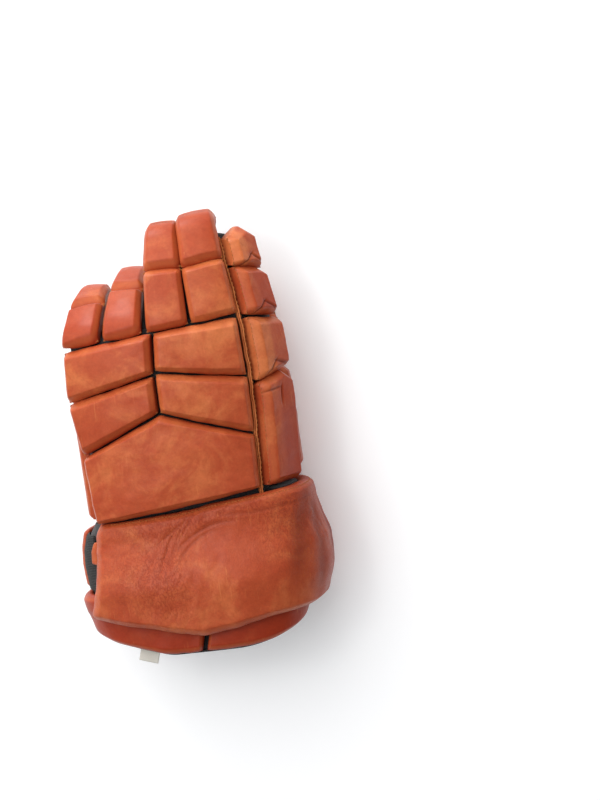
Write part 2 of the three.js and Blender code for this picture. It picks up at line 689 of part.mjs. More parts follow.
function sheet(corners, z, thickness, hole) {
  const points = (list) => list.map(([x, y]) => new THREE.Vector2(x, y));
  const shape = new THREE.Shape(points(corners));
  if (hole) shape.holes.push(new THREE.Path(points(hole)));
  const geometry = new THREE.ExtrudeGeometry(shape, { depth: thickness, bevelEnabled: false });
  geometry.deleteAttribute("normal");
  geometry.deleteAttribute("uv");
  geometry.translate(0, 0, z);
  return geometry;
}

function makePalm() {
  add("palm_mesh", sheet(PALM_MESH, PALM_Z, CLOTH), BLACK_MESH);
  add("palm_suede", sheet(PALM_SUEDE, PALM_Z, CLOTH, THUMB_HOLE), PALE_SUEDE);
  const bindingTop = PALM_Z - 0.4;
  add("palm_binding", block(vec(-81.5, -52, bindingTop - BINDING), vec(-74, 70, bindingTop)), BLACK_RIB);
  const edge = (x, end) => [vec(x, wristY(x) + 5.5, PALM_Z - 0.5), vec(x + end, wristY(x) + 0.8, 33)];
  const front = [edge(-80, 6), edge(0, -2)];
  const back = front.map((side) => side.map((p) => p.clone().add(vec(0, 2.2, -0.4))));
  add("wrist_elastic", solidBetween(front, back), BLACK_RIB);
}

function makeThumb() {
  const rings = (inset, from, to) => {
    const stops = THUMB.map(([y]) => y).filter((y) => y > from && y < to);
    return [from, ...stops, to].map((y) => thumbRing(y, inset));
  };
  const above = block(vec(-20, -60, THUMB_SHAPE.rootTop), vec(80, 60, 90));
  add("thumb_stall", cut(loft(rings(0, -46, 106)), loft(rings(CLOTH, -44, 103.5)), above), BLACK_CLOTH);
  const { thumb_base_pad, thumb_tip_pad } = THUMB_OUTLINES;
  const options = { across: 9, floor: 0, gap: 0.95 };
  pad("thumb_base_pad", thumbSurface, thumb_base_pad, THUMB_PAD, options);
  pad("thumb_tip_pad", thumbSurface, thumb_tip_pad, THUMB_PAD, { ...options, lengthwise: 4 });
  const binding = (name, first, last) =>
    pad(name, thumbSurface, { near: [[first, -44], [last, -44]], far: [[first, 96], [last, 96]] }, BINDING, {
      material: BLACK_RIB,
      lengthwise: 6,
      chamfer: 1,
      gap: 1.1,
    });
  binding("thumb_binding_inner", 184, 199);
  binding("thumb_binding_outer", 377, 392);
}

function makeSides() {
  for (const [name, outline] of Object.entries(SIDE_OUTLINES))
    pad(name, sideSurface, outline, SIDE_PAD, { lengthwise: 3 });
  for (const [name, outline] of Object.entries(LITTLE_OUTLINES))
    pad(name, littleSurface, outline, LITTLE_SIDE_PAD, { lengthwise: 2 });
}

function makeBack() {
  for (const [name, outline] of Object.entries(BACK_OUTLINES))
    pad(name, archSurface, outline, PAD, { across: name === "backhand_pad" ? 5 : 3 });
}

makeBack();
FINGERS.forEach(makeFinger);
makeSides();
makeThumb();
makeHand();
makePalm();
makeCuff();

const bounds = new THREE.Box3().setFromObject(glove);
const middle = bounds.getCenter(vec(0, 0, 0));
glove.position.set(-middle.x, -middle.y, -bounds.min.z);

export default glove;
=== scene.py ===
"""Looks of a left-hand leather ice hockey glove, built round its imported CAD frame.

Tables and sizes are millimetres in the plan that the CAD was drawn in: x towards the thumb,
y towards the fingertips, z up. Skin.to_object moves them into the row frame, in metres.
"""

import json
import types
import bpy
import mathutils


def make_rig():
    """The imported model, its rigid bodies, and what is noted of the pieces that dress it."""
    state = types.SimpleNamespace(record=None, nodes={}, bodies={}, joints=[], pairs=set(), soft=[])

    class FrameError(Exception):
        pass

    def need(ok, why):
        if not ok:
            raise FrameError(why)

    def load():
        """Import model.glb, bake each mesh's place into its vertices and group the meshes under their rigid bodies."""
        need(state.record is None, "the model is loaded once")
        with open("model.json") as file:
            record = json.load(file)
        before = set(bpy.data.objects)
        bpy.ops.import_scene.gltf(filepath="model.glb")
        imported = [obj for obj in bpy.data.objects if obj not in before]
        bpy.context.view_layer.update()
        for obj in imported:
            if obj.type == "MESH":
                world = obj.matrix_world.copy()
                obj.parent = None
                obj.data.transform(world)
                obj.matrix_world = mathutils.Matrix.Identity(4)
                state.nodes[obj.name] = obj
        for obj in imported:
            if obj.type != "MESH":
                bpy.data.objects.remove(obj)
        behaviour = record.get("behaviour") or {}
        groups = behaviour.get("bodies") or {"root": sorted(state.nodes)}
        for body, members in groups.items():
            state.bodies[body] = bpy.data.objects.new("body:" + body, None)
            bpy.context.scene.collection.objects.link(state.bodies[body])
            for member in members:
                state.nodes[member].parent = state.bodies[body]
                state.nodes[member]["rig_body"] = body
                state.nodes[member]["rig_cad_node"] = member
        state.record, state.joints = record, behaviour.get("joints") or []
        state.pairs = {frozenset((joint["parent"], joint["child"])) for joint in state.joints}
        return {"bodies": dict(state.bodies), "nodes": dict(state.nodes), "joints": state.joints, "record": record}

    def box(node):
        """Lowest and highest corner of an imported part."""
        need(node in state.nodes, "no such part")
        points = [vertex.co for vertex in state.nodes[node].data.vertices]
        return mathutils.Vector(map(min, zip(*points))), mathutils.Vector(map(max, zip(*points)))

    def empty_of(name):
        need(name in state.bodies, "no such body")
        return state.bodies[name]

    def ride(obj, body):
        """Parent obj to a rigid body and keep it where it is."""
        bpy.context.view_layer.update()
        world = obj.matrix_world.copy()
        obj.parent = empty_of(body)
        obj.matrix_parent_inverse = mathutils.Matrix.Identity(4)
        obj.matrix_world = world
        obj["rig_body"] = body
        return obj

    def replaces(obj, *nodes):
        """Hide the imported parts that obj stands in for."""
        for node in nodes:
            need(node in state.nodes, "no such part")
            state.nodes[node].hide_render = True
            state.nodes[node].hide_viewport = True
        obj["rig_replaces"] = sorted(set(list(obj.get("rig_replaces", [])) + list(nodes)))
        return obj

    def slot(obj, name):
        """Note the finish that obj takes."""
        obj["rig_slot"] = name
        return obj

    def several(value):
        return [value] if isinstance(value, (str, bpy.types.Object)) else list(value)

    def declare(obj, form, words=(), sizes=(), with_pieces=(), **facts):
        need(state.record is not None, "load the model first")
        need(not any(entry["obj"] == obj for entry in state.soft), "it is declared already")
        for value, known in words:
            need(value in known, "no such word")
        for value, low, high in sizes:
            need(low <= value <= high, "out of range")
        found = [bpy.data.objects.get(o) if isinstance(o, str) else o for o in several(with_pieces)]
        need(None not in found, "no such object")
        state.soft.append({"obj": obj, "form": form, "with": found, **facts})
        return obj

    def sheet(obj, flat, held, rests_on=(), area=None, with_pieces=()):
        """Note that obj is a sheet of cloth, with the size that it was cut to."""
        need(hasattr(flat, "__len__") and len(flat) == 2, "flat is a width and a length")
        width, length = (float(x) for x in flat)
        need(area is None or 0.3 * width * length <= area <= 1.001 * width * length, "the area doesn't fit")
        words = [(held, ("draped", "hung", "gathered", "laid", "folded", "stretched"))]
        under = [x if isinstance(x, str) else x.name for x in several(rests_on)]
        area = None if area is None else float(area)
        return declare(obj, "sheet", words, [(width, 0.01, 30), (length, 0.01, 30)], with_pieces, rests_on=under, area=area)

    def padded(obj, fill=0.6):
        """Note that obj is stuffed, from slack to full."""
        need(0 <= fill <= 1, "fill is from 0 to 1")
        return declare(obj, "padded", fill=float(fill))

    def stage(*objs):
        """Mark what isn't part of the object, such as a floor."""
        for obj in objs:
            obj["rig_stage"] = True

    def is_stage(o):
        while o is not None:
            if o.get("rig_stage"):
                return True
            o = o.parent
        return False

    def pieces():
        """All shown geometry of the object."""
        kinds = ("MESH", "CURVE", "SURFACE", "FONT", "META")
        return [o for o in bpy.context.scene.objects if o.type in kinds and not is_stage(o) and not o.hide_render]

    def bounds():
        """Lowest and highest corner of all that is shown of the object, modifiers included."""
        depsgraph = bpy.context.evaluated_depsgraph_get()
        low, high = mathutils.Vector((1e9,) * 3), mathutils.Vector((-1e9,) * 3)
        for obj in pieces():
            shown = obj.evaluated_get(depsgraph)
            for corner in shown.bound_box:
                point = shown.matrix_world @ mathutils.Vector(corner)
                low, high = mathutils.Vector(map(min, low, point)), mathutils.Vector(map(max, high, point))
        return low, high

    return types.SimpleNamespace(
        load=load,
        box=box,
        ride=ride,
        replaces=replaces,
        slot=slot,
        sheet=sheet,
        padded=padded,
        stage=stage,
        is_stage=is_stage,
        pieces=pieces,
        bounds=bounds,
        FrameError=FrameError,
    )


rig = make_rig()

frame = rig.load()

import json
import logging
import math
from dataclasses import dataclass, field
from enum import Enum
from typing import Callable, Optional, Protocol, Sequence

import bmesh
import bpy
import numpy as np
from mathutils import Matrix, Vector

Array = np.ndarray
Pair = tuple[Array, Array]
Colour = tuple[float, float, float]
Place = tuple[float, float, float]
Points = Sequence[tuple[float, float]]
Socket = bpy.types.NodeSocket
Shader = bpy.types.Node
Piece = bpy.types.Object

log = logging.getLogger("glove")
UP = np.array([0.0, 0.0, 1.0])
PALM_MESH_CORNER = np.array([-82.0, -60.5, 56.0])
SHIFT = np.array(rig.box("palm_mesh")[0]) * 1000 - PALM_MESH_CORNER


def smooth(value: Array) -> Array:
    """The smoothstep 3t^2 - 2t^3 of a value that is first held between 0 and 1.

    Args:
        value: any numbers.

    Returns:
        Numbers from 0 to 1.
    """
    held = np.clip(value, 0.0, 1.0)
    return held * held * (3 - 2 * held)


def unit(vectors: Array) -> Array:
    """Vectors scaled to length one.

    Args:
        vectors: the last axis holds x, y and z.

    Returns:
        Vectors of the same shape.
    """
    return vectors / np.maximum(np.linalg.norm(vectors, axis=-1, keepdims=True), 1e-12)


def stack(*parts: Array) -> Array:
    """Coordinates that are broadcast to one shape and stacked on a new last axis."""
    return np.stack(np.broadcast_arrays(*parts), axis=-1).astype(float)


def look_up(table: Sequence[Sequence[float]], key: Array) -> list[Array]:
    """Reads a table by its first column, with straight lines between its rows.

    Args:
        table: rows of numbers, sorted by their first column either way.
        key: where to read.

    Returns:
        One array for each of the other columns.
    """
    rows = np.array(sorted(table), float)
    return [np.interp(key, rows[:, 0], column) for column in rows[:, 1:].T]


def softened(table: Sequence[Sequence[float]], angle: Array) -> Array:
    """A table of angles and values, read as a mean over a few degrees, which rounds its corners.

    Args:
        table: rows of an angle in degrees and a value.
        angle: where to read; past 270 degrees it counts on from -90.

    Returns:
        Values.
    """
    turned = np.where(np.asarray(angle) > 270, np.asarray(angle) - 360.0, angle)
    return sum(look_up(table, turned + step)[0] for step in np.arange(-6, 6.1, 2)) / 7


def along(points: Points, share: Array) -> Array:
    """The points at shares of a polyline's length.

    Args:
        points: the polyline's corners.
        share: from 0 at its start to 1 at its end.

    Returns:
        Points, one for each share.
    """
    corners = np.array(points, float)
    lengths = np.linalg.norm(np.diff(corners, axis=0), axis=1)
    marks = np.concatenate([[0.0], np.cumsum(lengths)]) / lengths.sum()
    return stack(*(np.interp(share, marks, column) for column in corners.T))


def unevenness(points: Array, size: float, seed: int, count: int = 14) -> Array:
    """A smooth irregular value: the mean of sine waves in seeded random directions.

    Args:
        points: places in millimetres.
        size: typical wavelength in millimetres.
        seed: seed of the directions, wavelengths and phases.
        count: number of waves.

    Returns:
        Values of about -1 to 1.
    """
    random = np.random.default_rng(seed)
    directions = unit(random.normal(size=(count, 3)))
    lengths = size * random.uniform(0.6, 1.7, (count, 1))
    phases = random.uniform(0, 2 * math.pi, count)
    return 2.2 * np.sin(points @ (directions * 2 * math.pi / lengths).T + phases).mean(-1)


def superellipse(angle: Array, half_width: Array, half_height: Array, power: float) -> Pair:
    """The point of a superellipse in a direction: the radius r solves |r cos/w|^p + |r sin/h|^p = 1.

    Args:
        angle: direction in radians.
        half_width: half of the width.
        half_height: half of the height.
        power: 2 is an ellipse, more is squarer.

    Returns:
        The two coordinates.
    """
    c, d = np.cos(angle), np.sin(angle)
    radius = (np.abs(c / half_width) ** power + np.abs(d / half_height) ** power) ** (-1 / power)
    return radius * c, radius * d


def grid_quads(rows: int, columns: int, closed: bool = False) -> Array:
    """Quads of a grid of points that is kept row by row.

    Args:
        rows: number of rows.
        columns: number of columns.
        closed: whether the last column joins the first.

    Returns:
        Four point numbers for each quad.
    """
    i = np.arange(rows - 1)[:, None]
    j = np.arange(columns if closed else columns - 1)[None, :]
    k = (j + 1) % columns
    corners = [i * columns + j, i * columns + k, (i + 1) * columns + k, (i + 1) * columns + j]
    return np.stack(np.broadcast_arrays(*corners), axis=-1).reshape(-1, 4)


def border(rows: int, columns: int) -> Array:
    """Point numbers round the edge of a grid, in order.

    Args:
        rows: number of rows.
        columns: number of columns.

    Returns:
        The numbers.
    """
    numbers = np.arange(rows * columns).reshape(rows, columns)
    return np.concatenate(
        [numbers[0, :-1], numbers[:-1, -1], numbers[-1, :0:-1], numbers[:0:-1, 0]]
    )


@dataclass
class Skin:
    """A mesh in the plan's millimetres: points, quads, and values kept on the points."""

    points: Array
    quads: Array
    marks: dict[str, Array] = field(default_factory=dict)

    def facing(self, outward: Optional[Array] = None) -> "Skin":
        """Turns the quads so that they face out.

        Args:
            outward: outward directions at the points, or None for a closed mesh.

        Returns:
            The skin itself.
        """
        a, b, c, d = (self.points[self.quads[:, k]] for k in range(4))
        across = np.cross(c - a, d - b)
        if outward is None:
            sense = ((a + b + c + d) * across).sum()
        else:
            sense = (outward[self.quads[:, 0]] * across).sum()
        if sense < 0:
            self.quads = self.quads[:, ::-1]
        return self

    def plus(self, other: "Skin") -> "Skin":
        """This skin and another as one mesh.

        Args:
            other: the skin to add.

        Returns:
            The new skin.
        """
        marks = {
            key: np.concatenate([self.marks.get(key, np.zeros(len(self.points))), values])
            for key, values in other.marks.items()
        }
        return Skin(
            np.concatenate([self.points, other.points]),
            np.concatenate([self.quads, other.quads + len(self.points)]),
            marks,
        )

    def to_object(self, name: str, weld: bool = False) -> Piece:
        """Makes the Blender object, in the row frame and in metres.

        Args:
            name: name of the object and of its mesh.
            weld: whether points that coincide are merged, which closes poles and seams.

        Returns:
            The object, linked to the scene, with smooth shading.
        """
        mesh = bpy.data.meshes.new(name)
        mesh.from_pydata((self.points + SHIFT) / 1000, [], self.quads.tolist())
        for key, values in self.marks.items():
            mark = mesh.attributes.new(key, "FLOAT", "POINT")
            mark.data.foreach_set("value", np.ascontiguousarray(values, dtype=np.float32))
        if weld:
            work = bmesh.new()
            work.from_mesh(mesh)
            bmesh.ops.remove_doubles(work, verts=work.verts, dist=2e-6)
            bmesh.ops.dissolve_degenerate(work, edges=work.edges, dist=1e-7)
            work.to_mesh(mesh)
            work.free()
        mesh.shade_smooth()
        made = bpy.data.objects.new(name, mesh)
        bpy.context.scene.collection.objects.link(made)
        return made


def sheet_skin(points: Array, outward: Array, **marks: Array) -> Skin:
    """A skin from a grid of points.

    Args:
        points: rows of columns of points.
        outward: outward directions at the points.
        marks: values on the points.

    Returns:
        The skin, facing outward.
    """
    rows, columns = points.shape[:2]
    flat = {key: np.broadcast_to(value, (rows, columns)).ravel() for key, value in marks.items()}
    skin = Skin(points.reshape(-1, 3), grid_quads(rows, columns), flat)
    return skin.facing(np.broadcast_to(outward, points.shape).reshape(-1, 3))


class Surface(Protocol):
    """A surface that blocks are sewn to."""

    def at(self, a: Array, b: Array) -> Pair:
        """Points and outward normals at two parameters."""


@dataclass(frozen=True)
class Arch:
    """The back of the hand: an arch across the hand that droops a little at the knuckles."""

    x: float = -22.0
    z: float = 98.0
    radius: float = 190.0
    knuckle_y: float = 79.0
    knuckle_slope: float = 0.09
    droop: float = 2.5
    droop_from: float = 40.0
    droop_over: float = 40.0

    def height(self, x: Array, y: Array) -> Array:
        """Height of the arch: a parabola across the hand, less the droop squared along it."""
        past = np.maximum(0, np.minimum(y, self.knuckle_y) - self.droop_from) / self.droop_over
        return self.z - self.droop * past**2 - (x - self.x) ** 2 / (2 * self.radius)

    def knuckle(self, x: Array) -> Array:
        """y of the knuckle line, where the fingers start."""
        return self.knuckle_y + self.knuckle_slope * (x - self.x)

    def at(self, a: Array, b: Array) -> Pair:
        """Points and outward normals at x and y."""
        slope = (a - self.x) / self.radius
        return stack(a, b, self.height(a, b)), unit(stack(slope, 0 * slope, 1 + 0 * slope))


ARCH = Arch()


class FingerBack:
    """A finger's back or underside: across it a shallow arch, along it a line that bends down."""

    STALL_HEIGHT = 25.0
    UNDER = 0.3
    KNUCKLE_BEND = 12.0
    JOINT_BEND = 12.0
    END_LENGTH = 16.0
    END_LEAD = 4.0
    END_SLOPE = 98.0
    END_REACH = 6.0
    STEP = 0.5

    def __init__(self, x: float, turn: float, slopes: Pair, lengths: Pair) -> None:
        """Walks the finger's line in short steps, each turned down by the slope at its place.

        Args:
            x: where the finger starts on the knuckle line.
            turn: its turn in plan, in degrees.
            slopes: downward slope of its two halves, in degrees.
            lengths: length of its two halves.
        """
        lean = math.atan(-(x - ARCH.x) / ARCH.radius)
        turned = math.radians(turn)
        flat = math.cos(lean)
        self.side = np.array([math.cos(turned) * flat, -math.sin(turned) * flat, math.sin(lean)])
        self.end = lengths[0] + lengths[1]
        self.s = np.arange(0, self.end + self.END_LENGTH + self.END_REACH + self.STEP, self.STEP)
        joint = smooth((self.s - lengths[0] + self.JOINT_BEND / 2) / self.JOINT_BEND)
        tip = smooth((self.s - self.end + self.END_LEAD) / self.END_LENGTH)
        slope = slopes[0] * smooth(self.s / self.KNUCKLE_BEND)
        slope = slope + (slopes[1] - slopes[0]) * joint + (self.END_SLOPE - slopes[1]) * tip
        down = np.radians(slope)
        ahead = np.cos(down)
        self.tangent = stack(math.sin(turned) * ahead, math.cos(turned) * ahead, -np.sin(down))
        self.normal = unit(np.cross(self.side, self.tangent))
        y = ARCH.knuckle(x)
        start = np.array([x, y, float(ARCH.height(x, y))])
        steps = np.cumsum(self.tangent[:-1] * self.STEP, axis=0)
        self.point = start + np.concatenate([np.zeros((1, 3)), steps])

    def read(self, track: Array, s: Array) -> Array:
        """Vectors of a track at lengths along the finger's line."""
        return stack(*(np.interp(s, self.s, column) for column in track.T))

    def straight(self, s: Array) -> tuple[Array, Array, Array]:
        """The finger's line, straight on from where the tip block starts to turn down.

        Args:
            s: lengths along it.

        Returns:
            Point, normal and tangent.
        """
        held = np.minimum(s, self.end - self.END_LEAD)
        tangent = self.read(self.tangent, held)
        point = self.read(self.point, held) + tangent * (s - held)[..., None]
        return point, self.read(self.normal, held), tangent

    def at(self, a: Array, b: Array, face: int = 1, crown: float = 75.0) -> Pair:
        """Points and outward normals.

        Args:
            a: distance across the finger.
            b: length along it.
            face: 1 for its back, -1 for its underside.
            crown: radius of the shallow arch across it.

        Returns:
            Points and normals.
        """
        point, normal = self.read(self.point, b), self.read(self.normal, b)
        drop = 0.0 if face > 0 else -self.STALL_HEIGHT - self.UNDER
        lift = drop - face * a**2 / (2 * crown)
        points = point + self.side * np.asarray(a)[..., None] + normal * np.asarray(lift)[..., None]
        return points, unit(normal * face + self.side * (np.asarray(a) / crown)[..., None])


@dataclass(frozen=True)
class FingerUnder:
    """The underside of a finger as a surface of its own."""

    back: FingerBack
    crown: float = 90.0

    def at(self, a: Array, b: Array) -> Pair:
        """Points and outward normals across and along the underside."""
        return self.back.at(a, b, -1, self.crown)


@dataclass(frozen=True)
class SideWall:
    """The thumb side: a flat wall that slopes down and out from the seam at the arch's edge."""

    seam: tuple[tuple[float, float, float], ...] = (
        (-64, 40, 86.5),
        (-8, 43, 87),
        (30, 44.5, 87),
        (47, 44.5, 86.5),
        (85, 42, 83.5),
        (121, 36, 76.5),
        (150, 31, 66),
    )
    down: float = 62.0
    width: float = 34.0

    def at(self, a: Array, b: Array) -> Pair:
        """Points and outward normals.

        Args:
            a: distance below the seam.
            b: y.

        Returns:
            Points and unit normals.
        """
        x, z = look_up(self.seam, b)
        angle = math.radians(self.down)
        points = stack(x + a * math.cos(angle), b, z - a * math.sin(angle))
        return points, np.broadcast_to([math.sin(angle), 0.0, math.cos(angle)], points.shape)


@dataclass(frozen=True)
class LittleWall:
    """The little finger side: a flat wall that slopes down and a little inwards."""

    top: Place = (-90.0, 0.0, 80.0)
    bottom: Place = (-85.0, 0.0, 56.0)

    def at(self, a: Array, b: Array) -> Pair:
        """Points and outward normals.

        Args:
            a: distance below the wall's top.
            b: y.

        Returns:
            Points and unit normals.
        """
        run = np.array(self.bottom) - np.array(self.top)
        width = float(np.linalg.norm(run))
        run = run / width
        reach = np.clip(a, -2, width + 2)
        points = stack(self.top[0] + run[0] * reach, b, self.top[2] + run[2] * reach)
        return points, np.broadcast_to([run[2], 0.0, -run[0]], points.shape)


@dataclass(frozen=True)
class ThumbSkin:
    """The thumb under the palm: superellipses along y. Columns: y, middle x, half width, low, high."""

    rows: tuple[tuple[float, ...], ...] = (
        (-46, 28, 21.5, 13.6, 60),
        (12, 28, 21.5, 13.6, 60),
        (24, 27.8, 21, 13.6, 52),
        (48, 27, 19.5, 13.6, 48),
        (72, 26, 18, 13.6, 45),
        (91, 25.5, 15.2, 14.2, 42.5),
        (101, 25, 11.5, 16.5, 39.5),
        (106, 24.8, 6, 20, 36),
    )
    power: float = 3.0

    def place(self, angle: Array, y: Array, share: Array = 1.0) -> Array:
        """Points of the superellipses.

        Args:
            angle: in degrees, 0 towards the index finger and 90 up.
            y: where along the thumb.
            share: 1 on the skin, 0 in its middle.

        Returns:
            Points.
        """
        x, half, low, high = look_up(self.rows, y)
        a, h = superellipse(np.radians(angle), half, (high - low) / 2, self.power)
        return stack(x + a * share, y, (low + high) / 2 + h * share)

    def at(self, a: Array, b: Array) -> Pair:
        """Points and outward normals, the normal across two short chords.

        Args:
            a: angle in degrees.
            b: y.

        Returns:
            Points and unit normals.
        """
        turn = self.place(a + 2, b) - self.place(a - 2, b)
        ahead = self.place(a, np.minimum(b + 2, 108)) - self.place(a, b - 2)
        return self.place(a, b), unit(np.cross(ahead, turn))


@dataclass(frozen=True)
class CuffSkin:
    """The cuff lining's outside: superellipses along y. Columns: y, left, right, low, high."""

    rows: tuple[tuple[float, ...], ...] = (
        (-57, -97, 62, 25, 95),
        (-68, -104.5, 63, 18.5, 96.5),
        (-80, -108, 64, 13, 97),
        (-95, -109, 64, 10.8, 97),
        (-116, -108, 59, 10.8, 97),
        (-140, -102, 51.5, 10.8, 97),
        (-168, -94, 44, 12, 97),
    )
    rim: tuple[tuple[float, float], ...] = (
        (-90, -131),
        (-57, -133),
        (-20, -139),
        (0, -147),
        (15, -156),
        (30, -163),
        (45, -166),
        (116, -166),
        (133, -161),
        (147, -156),
        (160, -149),
        (180, -140),
        (200, -133),
        (215, -131),
        (270, -131),
    )
    power: float = 3.0
    slant: float = 0.077
    slant_x: float = -20.0
    fade_from: float = -110.0
    fade_over: float = 50.0
    end_y: float = -57.4
    wall: float = 2.4
    hem: float = 0.9

    def lean(self, x: Array) -> Array:
        """How far the wrist's slant moves a place along y."""
        return self.slant * (x - self.slant_x)

    def place(self, angle: Array, y: Array) -> Array:
        """Points of the superellipses; near the hand the rings are slanted.

        Args:
            angle: in degrees, 0 towards the thumb and 90 up.
            y: where along the cuff, before the slant.

        Returns:
            Points.
        """
        left, right, low, high = look_up(self.rows, y)
        a, h = superellipse(np.radians(angle), (right - left) / 2, (high - low) / 2, self.power)
        x = (left + right) / 2 + a
        fade = smooth((y - self.fade_from) / self.fade_over)
        return stack(x, y + self.lean(x) * fade, (low + high) / 2 + h)

    def at(self, a: Array, b: Array) -> Pair:
        """Points and outward normals, the normal across two short chords.

        Args:
            a: angle in degrees.
            b: y.

        Returns:
            Points and unit normals.
        """
        turn = self.place(a + 2, b) - self.place(a - 2, b)
        ahead = self.place(a, b + 2) - self.place(a, b - 2)
        return self.place(a, b), unit(np.cross(ahead, turn))

    def rim_y(self, angle: Array) -> Array:
        """y of the rim at an angle."""
        return softened(self.rim, angle)

    def hem_line(self, angle: Array) -> Array:
        """The line in the middle of the wall, just inside its end at the wrist, where cloth is sewn on."""
        ring, normal = self.at(angle, np.full(angle.shape, self.end_y))
        return ring - normal * (self.wall / 2) + np.array([0.0, self.hem, 0.0])


@dataclass(frozen=True)
class StrapSkin:
    """The cuff's surface, lifted where the strap rides over the flaps."""

    cuff: CuffSkin = CuffSkin()
    lift: float = 9.7
    lift_from: float = -72.0
    lift_over: float = 43.0
    thumb_side: float = -30.0
    ramp: float = 26.0

    def at(self, a: Array, b: Array) -> Pair:
        """Points and outward normals.

        Args:
            a: angle in degrees.
            b: y.

        Returns:
            Points and unit normals.
        """
        points, normals = self.cuff.at(a, b)
        share = smooth((self.lift_from - b) / self.lift_over)
        share = share * smooth((a - self.thumb_side) / self.ramp)
        return points + normals * (self.lift * share)[..., None], normals


CUFF = CuffSkin()
STRAP = StrapSkin()
THUMB = ThumbSkin()
WALL = SideWall()


@dataclass(frozen=True)
class Outline:
    """An outline of four sides, each a polyline: near, far, and straight lines between their ends."""

    near: Points
    far: Points

    def place(self, s: Array, t: Array) -> Pair:
        """Parameters inside the outline, as a Coons patch: near to far plus left to right, less
        the plane through the corners.

        Args:
            s: 0 at the left, 1 at the right.
            t: 0 at the near side, 1 at the far side.

        Returns:
            The surface's two parameters.
        """
        s, t = (value[..., None] for value in np.broadcast_arrays(s, t))
        near, far = along(self.near, s[..., 0]), along(self.far, s[..., 0])
        n0, n1, f0, f1 = (
            np.array(p, float) for p in (self.near[0], self.near[-1], self.far[0], self.far[-1])
        )
        left, right = n0 + (f0 - n0) * t, n1 + (f1 - n1) * t
        corners = (n0 + (n1 - n0) * s) * (1 - t) + (f0 + (f1 - f0) * s) * t
        inside = near * (1 - t) + far * t + left * (1 - s) + right * s - corners
        return inside[..., 0], inside[..., 1]


@dataclass(frozen=True)
class Band:
    """An outline round the cuff between two angles and two edges, each a y for every angle."""

    first: float
    last: float
    near: Callable[[Array], Array]
    far: Callable[[Array], Array]
    turn: Callable[[Array, Array], Array] = lambda angle, t: 0 * angle

    def place(self, s: Array, t: Array) -> Pair:
        """Angle and y inside the band.

        Args:
            s: share across it.
            t: share along it.

        Returns:
            The surface's two parameters.
        """
        s, t = np.broadcast_arrays(s, t)
        angle = self.first + (self.last - self.first) * s
        y = self.near(angle) * (1 - t) + self.far(angle) * t
        return angle + self.turn(angle, t), y


@dataclass(frozen=True)
class Crease:
    """A valley in a block's top: its middle, direction in degrees, length, width, depth and bend."""

    x: float
    y: float
    angle: float
    length: float
    width: float
    depth: float
    bend: float = 0.0


def crease_depth(u: Array, v: Array, creases: Sequence[Crease]) -> Array:
    """Depth at flat places: each valley has a Gaussian section and fades towards its two ends.

    Args:
        u: distance across the block.
        v: distance along it.
        creases: the valleys.

    Returns:
        Summed depth.
    """
    total = np.zeros(np.shape(u))
    for crease in creases:
        c, d = math.cos(math.radians(crease.angle)), math.sin(math.radians(crease.angle))
        ahead = ((u - crease.x) * c + (v - crease.y) * d) / (crease.length / 2)
        across = (v - crease.y) * c - (u - crease.x) * d - crease.bend * ahead**2
        total += crease.depth * np.exp(-((across / crease.width) ** 2) - ahead**4)
    return total


@dataclass(frozen=True)
class Form:
    """How a block is stuffed and rounded, in millimetres."""

    thickness: float
    gap: float = 0.5
    band: float = 5.0
    wall: float = 0.56
    bevel: float = 0.72
    crown: float = 0.8
    corner: float = 0.6
    tuck: float = 1.2
    grow: float = 0.9
    bulge: float = 0.3
    wobble: float = 0.16
    dent: float = 0.45
    step: float = 1.7
    floor: Optional[float] = None


